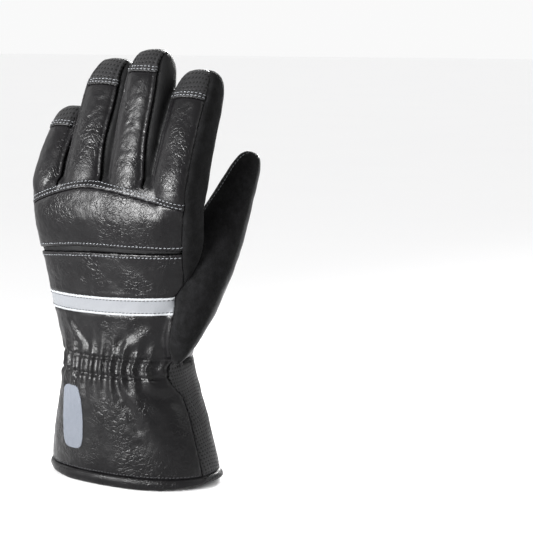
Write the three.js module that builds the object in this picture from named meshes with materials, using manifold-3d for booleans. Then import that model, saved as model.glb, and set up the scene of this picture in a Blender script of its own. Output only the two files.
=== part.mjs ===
// A firefighter's glove for the left hand, standing on its cuff.
// +X points to the thumb side, +Y to the palm side and +Z up to the fingertips.
// The hand form is a hollow leather wall made of lofted sections. It is then
// cut along its seams into the panels that the glove is sewn from.

import * as THREE from 'three';
import { mergeVertices } from 'three/addons/utils/BufferGeometryUtils.js';
import Module from 'manifold-3d';

const wasm = await Module();
wasm.setup();

// Driving dimensions, in millimetres
const cuffHeight = 77;
const cuffWidth = 132.5;
const cuffDepth = 78;
const wristWidth = 97;
const wristDepth = 71;
const wristLean = 7;
const cuffShift = -1.4;
const palmHeight = 130;
const palmWidth = 140;
const palmDepth = 42;
const palmShift = 6;
const knuckleLean = 31;
const leanPower = 0.7;
const crownHeight = 9;
const crotchSlope = -0.22;
const wall = 2.4;
const seamGap = 0.4;
const hemHeight = 8;
const hemRoll = 0.9;
const hemLift = 4;
const hemEdgeRoll = 0.3;
const hemFlatShare = 0.3;
const gatherDepth = 1.7;
const gatherRise = 8;
const gatherReach = 17;
const stripWidth = 12;
const stripThickness = 0.9;
const stripRise = 51.5;
const stripGap = 0.35;
const gussetWidth = 4.4;
const gussetDrop = 42;
const gussetArch = 6;
const knuckleSeamDrop = 2;
const knuckleSeamArch = 16;
const sidePanelRise = 9;
const sideStripRise = 27;
const fingerLength = 95;
const fingerShare = 0.25;
const fingerWidth = palmWidth * fingerShare;
const fingerDepth = 33;
const fingerCurl = 31;
const fingerBoxy = 2.4;
const thumbBoxy = 2.1;
const thumbRise = 144;
const thumbOut = 32.5;
const thumbForward = 48;
const thumbWidth = 40;
const thumbFoot = { inset: 2.5, back: 12, rise: 11 };
const thumbDepthShare = 0.96;
const thumbSeamMargin = 1;

// Heights that follow from the driving dimensions
const knuckleHeight = cuffHeight + palmHeight;
const gatherHeight = cuffHeight + gatherRise;
const sidePanelFoot = cuffHeight + sidePanelRise;
const sideStripFoot = cuffHeight + sideStripRise;
const stripHeight = cuffHeight + stripRise;
const gussetHeight = knuckleHeight - gussetDrop;
const knuckleSeamHeight = knuckleHeight - knuckleSeamDrop;
const FAR = 4 * palmWidth;

// The fingers: where the axis starts and ends across the hand, as shares of the
// palm's half width, and the length above the knuckle line, the width, the depth
// and the curl to the palm, as shares of the largest finger's. Then the share of
// the length at the nail seam, and how far up the crown the next crotch sits.
const fingerShares = [
  { name: 'index', root: 0.763, tip: 0.763, length: 0.855, width: 1, depth: 0.97, curl: 1, nail: 0.7, crotch: 0.07 },
  { name: 'middle', root: 0.251, tip: 0.271, length: 1, width: 1, depth: 1, curl: 0.742, nail: 0.8, crotch: 0.4 },
  { name: 'ring', root: -0.285, tip: -0.268, length: 0.926, width: 1.08, depth: 0.97, curl: 1.03, nail: 0.735, crotch: -0.2 },
  { name: 'little', root: -0.743, tip: -0.707, length: 0.568, width: 0.886, depth: 0.848, curl: 0.839, nail: 0.65 },
];
const fingers = fingerShares.map((finger) => ({
  name: finger.name,
  rootX: palmShift + finger.root * palmWidth / 2,
  tipX: palmShift + finger.tip * palmWidth / 2,
  length: finger.length * fingerLength,
  width: finger.width * fingerWidth,
  depth: finger.depth * fingerDepth,
  curl: finger.curl * fingerCurl,
  nail: finger.nail,
  crotch: finger.crotch * crownHeight,
}));

// The sections of a finger along its length, as shares of its own size.
const fingerRows = [
  { along: -0.3, width: 0.5, depth: 0.6, curl: 0.0 },
  { along: -0.1, width: 0.86, depth: 1.0, curl: 0.0 },
  { along: 0.04, width: 0.95, depth: 1.1, curl: 0.02 },
  { along: 0.3, width: 1.0, depth: 1.02, curl: 0.22 },
  { along: 0.56, width: 1.0, depth: 0.98, curl: 0.5 },
  { along: 0.76, width: 0.97, depth: 0.93, curl: 0.74 },
  { along: 0.89, width: 0.86, depth: 0.77, curl: 0.92 },
  { along: 0.965, width: 0.66, depth: 0.5, curl: 1.01 },
  { along: 1.0, width: 0.34, depth: 0.2, curl: 1.05 },
];

// How much of a finger's half width the leather strips cover, along its length.
const stripRows = [
  { along: -0.1, share: 0.86 },
  { along: 0.1, share: 0.84 },
  { along: 0.35, share: 0.76 },
  { along: 0.75, share: 0.74 },
  { along: 0.95, share: 0.62 },
  { along: 1.2, share: 0.45 },
];

// The cuff from hem to wrist: height as a share of the cuff's, and how far the
// section has gone from the cuff's size (0) to the wrist's (1).
const cuffRows = [
  { rise: 0.0, narrow: 0.0 },
  { rise: 0.25, narrow: 0.12 },
  { rise: 0.55, narrow: 0.44 },
  { rise: 0.76, narrow: 0.76 },
  { rise: 0.9, narrow: 0.94 },
  { rise: 1.0, narrow: 1.0 },
];

// The hand from wrist to knuckles: height as a share of the palm's, and how far
// each side, the depth and the lean have gone from the wrist's to the knuckles'.
const palmRows = [
  { rise: 0.06, little: 0.05, thumb: 0.02, depth: 0.1, lean: 0.02 },
  { rise: 0.13, little: 0.21, thumb: 0.07, depth: 0.25, lean: 0.05 },
  { rise: 0.22, little: 0.44, thumb: 0.23, depth: 0.4, lean: 0.11 },
  { rise: 0.36, little: 0.61, thumb: 0.44, depth: 0.52, lean: 0.23 },
  { rise: 0.52, little: 0.76, thumb: 0.61, depth: 0.63, lean: 0.4 },
  { rise: 0.7, little: 0.95, thumb: 0.79, depth: 0.75, lean: 0.64 },
  { rise: 0.86, little: 1.0, thumb: 0.93, depth: 0.89, lean: 0.88 },
];

// How square the section is, from an ellipse (2) upwards, by height: 0 is the
// hem, 1 the wrist and 2 the knuckle line.
const boxyRows = [
  { rise: 0.0, boxy: 2.35 },
  { rise: 0.5, boxy: 2.4 },
  { rise: 0.85, boxy: 2.65 },
  { rise: 1.0, boxy: 2.45 },
  { rise: 1.1, boxy: 2.2 },
  { rise: 1.5, boxy: 2.3 },
  { rise: 2.0, boxy: 2.45 },
];

// The rounded top of the hand between the fingers, above the knuckle line.
const crownRows = [
  { rise: 0.0, width: 0.985, depth: 0.86 },
  { rise: 0.6, width: 0.95, depth: 0.6 },
  { rise: 1.0, width: 0.9, depth: 0.3 },
];

// The thumb from its rounded foot to its tip, as shares of its rise, of the
// ways out and forward, and of its width.
const thumbRows = [
  { along: 0.0, out: 0.0, forward: 0.0, width: 0.2 },
  { along: 0.04, out: 0.03, forward: 0.0, width: 0.38 },
  { along: 0.11, out: 0.14, forward: -0.02, width: 0.58 },
  { along: 0.19, out: 0.22, forward: 0.03, width: 0.76 },
  { along: 0.28, out: 0.28, forward: 0.13, width: 0.9 },
  { along: 0.42, out: 0.38, forward: 0.29, width: 1.0 },
  { along: 0.56, out: 0.53, forward: 0.46, width: 0.97 },
  { along: 0.7, out: 0.69, forward: 0.635, width: 0.82 },
  { along: 0.83, out: 0.835, forward: 0.8, width: 0.64 },
  { along: 0.93, out: 0.94, forward: 0.92, width: 0.5 },
  { along: 0.98, out: 0.99, forward: 0.99, width: 0.35 },
  { along: 1.0, out: 1.0, forward: 1.0, width: 0.18 },
];

// How far the thumb's leather reaches over the ball of the thumb on the palm
// side, from the thumb's axis towards the little finger, as shares of its width.
const thenarRows = [
  { along: 0.015, reach: 0.04 },
  { along: 0.04, reach: 0.3 },
  { along: 0.09, reach: 0.56 },
  { along: 0.16, reach: 0.73 },
  { along: 0.26, reach: 0.82 },
  { along: 0.38, reach: 0.83 },
  { along: 0.5, reach: 0.7 },
  { along: 0.6, reach: 0.5 },
  { along: 0.7, reach: 0.27 },
  { along: 0.76, reach: 0.1 },
];

// The least reach across the hand of the thumb's leather on the back, from the
// glove's middle, as shares of the wrist's half width.
const thumbBackRows = [
  { along: -0.5, out: 0.94 },
  { along: 0.06, out: 0.98 },
  { along: 0.17, out: 1.05 },
  { along: 0.28, out: 1.1 },
  { along: 0.39, out: 1.14 },
  { along: 0.51, out: 1.19 },
  { along: 0.62, out: 1.1 },
  { along: 1.5, out: 0.9 },
];

// The thumb's three seams, as angles in degrees about its axis: 0 points out to
// the side and 90 to the palm.
const thumbSeamRows = [
  { along: 0.0, outer: 8, pad: 150, web: 208 },
  { along: 0.3, outer: 10, pad: 138, web: 212 },
  { along: 0.6, outer: 13, pad: 104, web: 226 },
  { along: 1.0, outer: 15, pad: 98, web: 230 },
];

// The strip on the little finger's outer side: half angles about its axis, on
// the back and on the palm side, by height as a share of the way to the tip.
const ulnarRows = [
  { rise: 0.0, back: 3, palm: 3 },
  { rise: 0.06, back: 12, palm: 16 },
  { rise: 0.2, back: 20, palm: 34 },
  { rise: 0.45, back: 26, palm: 44 },
  { rise: 0.7, back: 30, palm: 50 },
  { rise: 1.2, back: 30, palm: 52 },
];

// The side panel from beside the thumb's foot to the index fingertip, in the
// same way, with its axis drawn in from the finger's by a share of the palm.
const radialRows = [
  { rise: 0.0, back: 16, palm: 40, inset: 0.15 },
  { rise: 0.12, back: 30, palm: 52, inset: 0.125 },
  { rise: 0.36, back: 43, palm: 60, inset: 0.07 },
  { rise: 0.46, back: 48, palm: 84, inset: 0.03 },
  { rise: 0.55, back: 47, palm: 62, inset: 0.0 },
  { rise: 0.66, back: 42, palm: 48, inset: 0.0 },
  { rise: 1.2, back: 42, palm: 48, inset: 0.0 },
];

// The side seams of the cuff, as shares of the section's half depth from its
// middle: the back panel ends before the thumb side and the palm wraps round.
const cuffSeamRows = [
  { rise: 0.0, little: 0.12, thumb: -0.23 },
  { rise: 0.5, little: 0.1, thumb: -0.21 },
  { rise: 0.83, little: 0.06, thumb: -0.18 },
  { rise: 0.92, little: 0.05, thumb: -0.36 },
  { rise: 1.05, little: 0.04, thumb: -0.47 },
  { rise: 1.18, little: 0.02, thumb: -0.29 },
  { rise: 2.1, little: 0.0, thumb: 0.0 },
];

// The gathers at the wrist: place across the back as a share of the wrist's
// half width, height of the ridge, and how it leans from the vertical.
const gatherRows = [
  { across: -0.84, height: 0.7, lean: 0.18 },
  { across: -0.68, height: 0.9, lean: 0.12 },
  { across: -0.52, height: 0.8, lean: 0.05 },
  { across: -0.36, height: 1.0, lean: 0.04 },
  { across: -0.2, height: 0.9, lean: 0.0 },
  { across: -0.03, height: 1.0, lean: -0.04 },
  { across: 0.15, height: 1.0, lean: -0.1 },
  { across: 0.33, height: 0.9, lean: -0.16 },
  { across: 0.51, height: 1.0, lean: -0.24 },
  { across: 0.68, height: 0.8, lean: -0.3 },
];
const gatherWidth = 0.075;
const gatherMean = 0.55;

// The seams across the back: place across the palm, as a share of the way past
// its edge that the seams are drawn, and height, as a share of the seam's arch.
const seamReach = 0.57;
const knuckleSeamRows = [
  { across: -1.0, rise: -1.0 },
  { across: -0.65, rise: -0.31 },
  { across: -0.2, rise: 0.25 },
  { across: 0.1, rise: 0.19 },
  { across: 0.5, rise: -0.19 },
  { across: 1.0, rise: -0.75 },
];
const gussetRows = [
  { across: -1.0, rise: -1.0, open: 0.6 },
  { across: -0.3, rise: -0.13, open: 1.0 },
  { across: 0.4, rise: 0.13, open: 0.75 },
  { across: 1.0, rise: 0.33, open: 0.4 },
];

// How far the cutters reach past the panels that they cut, as shares of the
// finger's or the thumb's width.
const fingerReach = 1.4;
const blockReach = 0.6;
const thumbReach = 1.7;

// Smallest numbers of flat sides that keep the curves looking round.
const backSides = 38;
const palmSides = 12;
const liningSides = 16;
const fingerSides = 12;
const fingerLiningSides = 8;

// A value read from a table at a place between its rows, along a smooth curve.
function fromRows(rows, key, column, place) {
  const last = rows.length - 1;
  let i = rows.findIndex((row) => row[key] > place) - 1;
  if (place <= rows[0][key]) i = 0;
  if (i < 0) i = last - 1;
  const at = (n) => rows[Math.min(last, Math.max(0, n))];
  const slope = (n) => {
    const span = at(n + 1)[key] - at(n - 1)[key];
    return (at(n + 1)[column] - at(n - 1)[column]) / span;
  };
  const span = at(i + 1)[key] - at(i)[key];
  const t = THREE.MathUtils.clamp((place - at(i)[key]) / span, 0, 1);
  const steep = slope(i) * span;
  const steepNext = slope(i + 1) * span;
  return (2 * t ** 3 - 3 * t ** 2 + 1) * at(i)[column]
    + (t ** 3 - 2 * t ** 2 + t) * steep
    + (3 * t ** 2 - 2 * t ** 3) * at(i + 1)[column]
    + (t ** 3 - t ** 2) * steepNext;
}

const mix = THREE.MathUtils.lerp;
const radians = THREE.MathUtils.degToRad;

// A closed solid through rings of points that all have as many points.
function loft(rings) {
  const sides = rings[0].length;
  const points = rings.flat();
  const foot = points.length;
  const head = foot + 1;
  const middle = (ring) => ring.reduce((sum, p) => sum.add(p), new THREE.Vector3())
    .divideScalar(sides);
  points.push(middle(rings[0]), middle(rings[rings.length - 1]));
  const faces = [];
  for (let r = 0; r < rings.length - 1; r += 1) {
    for (let i = 0; i < sides; i += 1) {
      const a = r * sides + i;
      const b = r * sides + ((i + 1) % sides);
      faces.push(a, b, b + sides, a, b + sides, a + sides);
    }
  }
  const top = (rings.length - 1) * sides;
  for (let i = 0; i < sides; i += 1) {
    const j = (i + 1) % sides;
    faces.push(foot, j, i, head, top + i, top + j);
  }
  const geometry = new THREE.BufferGeometry().setFromPoints(points);
  geometry.setIndex(faces);
  return solidFrom(geometry);
}

// A three.js geometry as a solid, with its faces turned outwards.
function solidFrom(geometry) {
  const bare = geometry.clone();
  bare.deleteAttribute('normal');
  bare.deleteAttribute('uv');
  const merged = mergeVertices(bare, 1e-4);
  const build = (triVerts) => new wasm.Manifold(new wasm.Mesh({
    numProp: 3,
    vertProperties: new Float32Array(merged.attributes.position.array),
    triVerts,
  }));
  const triVerts = new Uint32Array(merged.index.array);
  const solid = build(triVerts);
  return solid.volume() > 0 ? solid : build(triVerts.reverse());
}

// An outline in X and Z, pushed through the glove from front to back.
function prism(outline, slope = 0) {
  const shape = new THREE.Shape(outline.map(([x, z]) => new THREE.Vector2(x, z)));
  const geometry = new THREE.ExtrudeGeometry(shape, { depth: 2 * FAR, bevelEnabled: false });
  geometry.rotateX(Math.PI / 2);
  geometry.translate(0, FAR, 0);
  geometry.applyMatrix4(new THREE.Matrix4().makeShear(0, 0, 0, slope, 0, 0));
  return solidFrom(geometry);
}

// The hand form's section at one height: its middle and half sizes.
function sectionAt(z) {
  const cuffShare = z / cuffHeight;
  const boxy = fromRows(boxyRows, 'rise', 'boxy', cuffShare <= 1
    ? Math.max(0, cuffShare) : Math.min(2, 1 + (z - cuffHeight) / palmHeight));
  if (cuffShare <= 1) {
    const narrow = fromRows(cuffRows, 'rise', 'narrow', Math.max(0, cuffShare));
    const halfWidth = mix(cuffWidth, wristWidth, narrow) / 2;
    return {
      left: cuffShift - halfWidth,
      right: cuffShift + halfWidth,
      y: -wristLean * Math.max(0, cuffShare) ** leanPower,
      halfDepth: mix(cuffDepth, wristDepth, narrow) / 2,
      boxy,
    };
  }
  const rise = Math.min(1, (z - cuffHeight) / palmHeight);
  const ends = [
    { rise: 0, little: 0, thumb: 0, depth: 0, lean: 0 },
    ...palmRows,
    { rise: 1, little: 1, thumb: 1, depth: 1, lean: 1 },
  ];
  const share = (column) => fromRows(ends, 'rise', column, rise);
  return {
    left: mix(cuffShift - wristWidth / 2, palmShift - palmWidth / 2, share('little')),
    right: mix(cuffShift + wristWidth / 2, palmShift + palmWidth / 2, share('thumb')),
    y: -mix(wristLean, knuckleLean, share('lean')),
    halfDepth: mix(wristDepth, palmDepth, share('depth')) / 2,
    boxy,
  };
}

// A point's factor on a rounded box: 2 is an ellipse, and more is squarer.
function rounded(value, boxy) {
  return Math.sign(value) * Math.abs(value) ** (2 / boxy);
}

// How far the gathers raise the leather on the back, at a place on the cuff.
function gatherAt(x, z, front) {
  const half = wristWidth / 2;
  let ridge = 0;
  for (const row of gatherRows) {
    const across = (x - row.lean * (z - gatherHeight)) / half - row.across;
    ridge += row.height * Math.exp(-((across / gatherWidth) ** 2));
  }
  const fade = Math.exp(-(((z - gatherHeight) / gatherReach) ** 2));
  return gatherDepth * (ridge - gatherMean) * fade * front;
}

// One level ring of the hand form, grown outwards by an offset.
function bodyRing(z, offset, angles, gathered, shrink = { width: 1, depth: 1, slope: 0 }) {
  const s = sectionAt(z);
  const middle = (s.left + s.right) / 2;
  const halfWidth = ((s.right - s.left) / 2) * shrink.width + offset;
  const halfDepth = s.halfDepth * shrink.depth + offset;
  return angles.map((angle) => {
    const across = rounded(Math.cos(angle), s.boxy);
    const deep = rounded(Math.sin(angle), s.boxy);
    const front = THREE.MathUtils.smoothstep(-deep, -0.1, 0.5);
    const x = middle + across * halfWidth;
    const lift = gathered ? gatherAt(x, z, front) : 0;
    const behind = deep * (halfDepth + lift);
    return new THREE.Vector3(x + across * lift, s.y + behind, z + shrink.slope * behind);
  });
}

// Angles round a ring, with more of them on the back than on the palm side.
function ringAngles(back, palm) {
  const angles = [];
  for (let i = 0; i < back; i += 1) angles.push(Math.PI + (i * Math.PI) / back);
  for (let i = 0; i < palm; i += 1) angles.push((i * Math.PI) / palm);
  return angles;
}

// The hand form from the cuff to the crown between the fingers.
function bodySolid(offset, { from = 0, sides, gathered = false, step = 1 }) {
  const heights = [from];
  for (const row of cuffRows) heights.push(row.rise * cuffHeight);
  for (const row of palmRows) heights.push(cuffHeight + row.rise * palmHeight);
  if (gathered) {
    for (const share of [-0.9, -0.2, 0.25, 1.0]) {
      heights.push(gatherHeight + share * gatherReach);
    }
  }
  const levels = [...new Set(heights)].filter((z) => z >= from).sort((a, b) => a - b)
    .filter((z, i, all) => i === 0 || z - all[i - 1] > step);
  const rings = levels.map((z) => bodyRing(z, offset, sides, gathered));
  const room = Math.min(0, offset);
  for (const row of crownRows) {
    const z = knuckleHeight + row.rise * crownHeight + room;
    rings.push(bodyRing(z, offset, sides, false, { ...row, slope: crotchSlope }));
  }
  return loft(rings);
}

// A finger's axis and frame at a share of its length.
function fingerFrame(finger, along) {
  const place = (share) => {
    const z = knuckleHeight + finger.length * share;
    const lean = share < 0 ? sectionAt(z).y : -knuckleLean;
    const curl = finger.curl * fromRows(fingerRows, 'along', 'curl', share);
    return new THREE.Vector3(mix(finger.rootX, finger.tipX, Math.max(0, share)), lean + curl, z);
  };
  const ahead = place(along + 0.02).sub(place(along - 0.02)).normalize();
  const deep = new THREE.Vector3().crossVectors(ahead, new THREE.Vector3(1, 0, 0)).normalize();
  const across = new THREE.Vector3().crossVectors(deep, ahead).normalize();
  return { at: place(along), across, deep };
}

// One ring of a tube: a rounded box across its axis.
function tubeRing(frame, halfWidth, halfDepth, sides, boxy) {
  return Array.from({ length: sides }, (_, i) => {
    const angle = (i * 2 * Math.PI) / sides;
    return frame.at.clone()
      .addScaledVector(frame.across, rounded(Math.cos(angle), boxy) * halfWidth)
      .addScaledVector(frame.deep, rounded(Math.sin(angle), boxy) * halfDepth);
  });
}

function fingerSolid(finger, offset, sides) {
  const shorten = 1 + Math.min(0, offset) / finger.length;
  return loft(fingerRows.map((row) => {
    const along = row.along > 0 ? row.along * shorten : row.along;
    const frame = fingerFrame(finger, along);
    const halfWidth = (finger.width / 2) * row.width + offset;
    const halfDepth = (finger.depth / 2) * row.depth + offset;
    return tubeRing(frame, halfWidth, halfDepth, sides, fingerBoxy);
  }));
}

// The thumb's axis and frame at a share of its rise.
function thumbFrame(along) {
  const share = THREE.MathUtils.clamp(along, 0, 1);
  const place = (at) => new THREE.Vector3(
    wristWidth / 2 - thumbFoot.inset + thumbOut * fromRows(thumbRows, 'along', 'out', at),
    thumbForward * fromRows(thumbRows, 'along', 'forward', at) - wristLean - thumbFoot.back,
    cuffHeight + thumbFoot.rise + thumbRise * at,
  );
  const ahead = place(Math.min(1, share + 0.04)).sub(place(Math.max(0, share - 0.04))).normalize();
  const deep = new THREE.Vector3().crossVectors(ahead, new THREE.Vector3(1, 0, 0)).normalize();
  const across = new THREE.Vector3().crossVectors(deep, ahead).normalize();
  const at = place(share).addScaledVector(ahead, (along - share) * thumbRise);
  return { at, across, deep };
}

function thumbSolid(offset, sides) {
  const shorten = Math.min(0, offset) / thumbRise;
  return loft(thumbRows.map((row) => {
    const along = row.along * (1 + 2 * shorten) - shorten;
    const half = (thumbWidth / 2) * row.width + offset;
    return tubeRing(thumbFrame(along), half, half * thumbDepthShare, sides, thumbBoxy);
  }));
}

// A wedge between two angles about a line: the cutter for panels that run
// round the hand. Each station has a frame and its two angles in degrees.
function wedge(stations, reach) {
  const steps = 3;
  return loft(stations.map(({ frame, from, to }) => {
    const ring = [frame.at.clone()];
    for (let i = 0; i <= steps; i += 1) {
      const angle = radians(mix(from, to, i / steps));
      ring.push(frame.at.clone()
        .addScaledVector(frame.across, reach * Math.cos(angle))
        .addScaledVector(frame.deep, reach * Math.sin(angle)));
    }
    return ring;
  }));
}

// The angle that an offset spans at the wall, seen from an axis inside it.
function marginAngle(offset, distance) {
  return THREE.MathUtils.radToDeg(offset / distance);
}

// The hollow leather wall of the whole glove
const bodySides = ringAngles(backSides, palmSides);
const bodyLining = ringAngles(liningSides / 2, liningSides / 2);
const outside = wasm.Manifold.union([
  bodySolid(0, { sides: bodySides, gathered: true }),
  thumbSolid(0, fingerSides),
  ...fingers.map((finger) => fingerSolid(finger, 0, fingerSides)),
]);
const inside = wasm.Manifold.union([
  bodySolid(-wall, { from: -1, sides: bodyLining, step: 7 }),
  thumbSolid(-wall, fingerLiningSides),
  ...fingers.map((finger) => fingerSolid(finger, -wall, fingerLiningSides)),
]);
const hollowWall = outside.subtract(inside);

// Regions: each function gives the space of a panel, grown by an offset.

// Everything round the thumb, out to its seam with the hand, and the ball of
// the thumb on the palm side.
function thumbRegion(offset) {
  const last = thenarRows.length - 1;
  const rings = thenarRows.map((row, i) => {
    const { at } = thumbFrame(row.along);
    const seam = at.x - row.reach * thumbWidth - offset;
    let { z } = at;
    if (i === 0) z -= offset;
    if (i === last) z += offset;
    return [
      new THREE.Vector3(seam, at.y - offset, z),
      new THREE.Vector3(FAR, at.y - offset, z),
      new THREE.Vector3(FAR, FAR, z),
      new THREE.Vector3(seam, FAR, z),
    ];
  });
  const backLimit = prism([
    ...thumbBackRows.map((row) => [row.out * wristWidth / 2 - offset,
      cuffHeight + thumbFoot.rise + thumbRise * row.along]),
    [FAR, FAR], [FAR, -FAR],
  ]);
  return thumbSolid(thumbSeamMargin + offset, fingerSides).intersect(backLimit).add(loft(rings));
}

// A third of the thumb, between two of its seams.
function thumbWedge(from, to, turn = 0) {
  return (offset) => {
    const margin = marginAngle(offset, thumbWidth / 3);
    return wedge([-0.15, 0, 0.2, 0.4, 0.6, 0.8, 1, 1.15].map((along) => {
      const angle = (column) => fromRows(thumbSeamRows, 'along', column, along);
      return {
        frame: thumbFrame(along),
        from: angle(from) - margin,
        to: angle(to) + turn + margin,
      };
    }), thumbWidth * thumbReach);
  };
}

// The axis of a side strip: the finger's own, carried on down the hand.
function sideAxis(finger, z, inset) {
  const along = (z - knuckleHeight) / finger.length;
  const y = along > 0 ? fingerFrame(finger, along).at.y : sectionAt(z).y;
  const x = mix(finger.rootX, finger.tipX, Math.max(0, along)) - inset * palmWidth;
  return {
    at: new THREE.Vector3(x, y, z),
    across: new THREE.Vector3(Math.sign(finger.rootX), 0, 0),
    deep: new THREE.Vector3(0, 1, 0),
  };
}

// A side strip that runs from its foot on the hand over a finger's outer side.
function sideStrip(finger, foot, rows) {
  return (offset) => {
    const tip = knuckleHeight + finger.length;
    const margin = marginAngle(offset, finger.width / 2);
    const shares = [0, 0.07, 0.2, 0.36, 0.46, 0.56, 0.7, 0.86, 1.1];
    return wedge(shares.map((share) => {
      const value = (column) => fromRows(rows, 'rise', column, share);
      const inset = rows[0].inset === undefined ? 0 : value('inset');
      const z = foot - offset + share * (tip - foot + offset);
      return {
        frame: sideAxis(finger, z, inset),
        from: -value('back') - margin,
        to: value('palm') + margin,
      };
    }), finger.width * fingerReach);
  };
}

// The edge of a finger's leather strip, on its +X (1) or -X (-1) side.
function stripEdge(finger, z, side) {
  const along = (z - knuckleHeight) / finger.length;
  const x = mix(finger.rootX, finger.tipX, Math.max(0, along));
  return x + side * (finger.width / 2) * fromRows(stripRows, 'along', 'share', along);
}

// The space between two fingers that their fourchette lines, ending in a U.
function fourchetteRegion(outer, inner) {
  return (offset) => {
    const foot = knuckleHeight + outer.crotch;
    const tall = Math.max(outer.length, inner.length) * 1.2;
    const heights = [0.06, 0.2, 0.4, 0.7, 1].map((share) => foot + share * tall);
    const shift = -crotchSlope * knuckleLean;
    const right = heights.map((z) => [stripEdge(outer, z, -1) + offset, z]);
    const left = heights.map((z) => [stripEdge(inner, z, 1) - offset, z]);
    const middle = (left[0][0] + right[0][0]) / 2;
    const half = (right[0][0] - left[0][0]) / 2;
    const arc = [0.25, 0.5, 0.75].map((share) => {
      const angle = Math.PI * (1 - share);
      return [middle + half * Math.cos(angle), heights[0] - (heights[0] - foot) * Math.sin(angle) - offset];
    });
    const outline = [...left.reverse(), ...arc, ...right].map(([x, z]) => [x, z - shift]);
    return prism(outline, crotchSlope);
  };
}

// The back of the hand: in front of the side seams and below the nail seams.
function backRegion(offset) {
  const rises = [-0.1, 0.1, 0.5, 0.83, 0.92, 1.05, 1.18, 1.4, 1.7, 1.98];
  const rings = rises.map((rise) => {
    const z = rise < 1 ? rise * cuffHeight : cuffHeight + (rise - 1) * palmHeight;
    const s = sectionAt(Math.max(0, z));
    const seam = (column) => s.y + s.halfDepth
      * fromRows(cuffSeamRows, 'rise', column, Math.max(0, rise)) + offset;
    const slope = (seam('thumb') - seam('little')) / (s.right - s.left);
    const reach = palmWidth / 2;
    return [
      new THREE.Vector3(s.left - reach, -FAR, z),
      new THREE.Vector3(s.right + reach, -FAR, z),
      new THREE.Vector3(s.right + reach, seam('thumb') + slope * reach, z),
      new THREE.Vector3(s.left - reach, seam('little') - slope * reach, z),
    ];
  });
  const blocks = fingers.map((finger) => {
    const shares = [-0.2, 0, 0.2, 0.4, 0.6, finger.nail];
    return loft(shares.map((share, i) => {
      const nudge = i === shares.length - 1 ? offset / finger.length : 0;
      const { at, deep } = fingerFrame(finger, share + nudge);
      const corner = (x, far) => at.clone().addScaledVector(deep, far)
        .add(new THREE.Vector3(x, 0, 0));
      const half = finger.width * blockReach;
      return [corner(-half, -finger.depth), corner(half, -finger.depth),
        corner(half, offset), corner(-half, offset)];
    }));
  });
  return wasm.Manifold.union([loft(rings), ...blocks]);
}

// A line on the back that follows a table of rows across the palm.
function seamLine(rows, base, arch) {
  return rows.map((row) => [palmShift + row.across * palmWidth * seamReach, base + row.rise * arch]);
}

// Gives the region of all that lies above a line across the glove.
function above(line) {
  const [first, last] = [line[0], line[line.length - 1]];
  return (offset) => prism(
    [[-FAR, first[1]], ...line, [FAR, last[1]]].map(([x, z]) => [x, z - offset])
      .concat([[FAR, FAR], [-FAR, FAR]]),
  );
}

const gussetLine = seamLine(gussetRows, gussetHeight, gussetArch);
const gussetFoot = above(gussetLine);
const gussetTop = above(gussetLine.map(([x, z], i) => [x, z + gussetWidth * gussetRows[i].open]));
const knuckleSeam = above(seamLine(knuckleSeamRows, knuckleSeamHeight, knuckleSeamArch));
const stripSeam = above([[-cuffWidth, stripHeight], [cuffWidth, stripHeight]]);
const hemSeam = above([[-cuffWidth, hemHeight], [cuffWidth, hemHeight]]);

// The largest body of a cut, without the crumbs that facets leave at its edge.
function largest(solid) {
  return solid.decompose().reduce((best, body) => (body.volume() > best.volume() ? body : best));
}

// Takes a panel out of what is left of the wall, with half the gap on each side.
function cut(rest, region) {
  return [
    rest.intersect(region(-seamGap / 2)),
    rest.subtract(region(seamGap / 2)),
  ];
}

// Materials, with colours and finishes as on the real glove
const leather = new THREE.MeshStandardMaterial({ color: 0x232226, roughness: 0.42, metalness: 0 });
const perforated = new THREE.MeshStandardMaterial({ color: 0x2a292c, roughness: 0.55, metalness: 0 });
const suede = new THREE.MeshStandardMaterial({ color: 0x131316, roughness: 0.9, metalness: 0 });
const reflective = new THREE.MeshStandardMaterial({ color: 0xd3d7de, roughness: 0.35, metalness: 0.1 });

const glove = new THREE.Group();

function addPanel(name, solid, material) {
  const { vertProperties, triVerts, numProp, numVert } = largest(solid).getMesh();
  const places = new Float32Array(numVert * 3);
  for (let i = 0; i < numVert; i += 1) {
    places.set(vertProperties.subarray(i * numProp, i * numProp + 3), i * 3);
  }
  const geometry = new THREE.BufferGeometry();
  geometry.setAttribute('position', new THREE.BufferAttribute(places, 3));
  geometry.setIndex(new THREE.BufferAttribute(new Uint32Array(triVerts), 1));
  geometry.computeVertexNormals();
  const mesh = new THREE.Mesh(geometry, material);
  mesh.name = name;
  glove.add(mesh);
}

// The thumb: soft leather outside, perforated leather on the pad, suede behind
function addThumb(thumb) {
  const [outer, notOuter] = cut(thumb, thumbWedge('outer', 'pad'));
  const [pad, back] = cut(notOuter, thumbWedge('pad', 'web'));
  addPanel('thumb_outer_leather', outer, leather);
  addPanel('thumb_pad_perforated', pad, perforated);
  addPanel('thumb_back_suede', back, suede);
}

// The back of the hand, from the hem up to the nail seams
function addBack(back) {
  const [fingerBacks, belowKnuckles] = cut(back, knuckleSeam);
  const [knuckles, belowGusset] = cut(belowKnuckles, gussetTop);
  const [gusset, belowPleat] = cut(belowGusset, gussetFoot);
  const [handBack, cuffBack] = cut(belowPleat, stripSeam);
  addPanel('finger_back_leather', fingerBacks, leather);
  addPanel('knuckle_leather', knuckles, leather);
  addPanel('flex_gusset', gusset, suede);
  addPanel('hand_back_leather', handBack, leather);
  addPanel('cuff_back_leather', cuffBack, leather);
}

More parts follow.
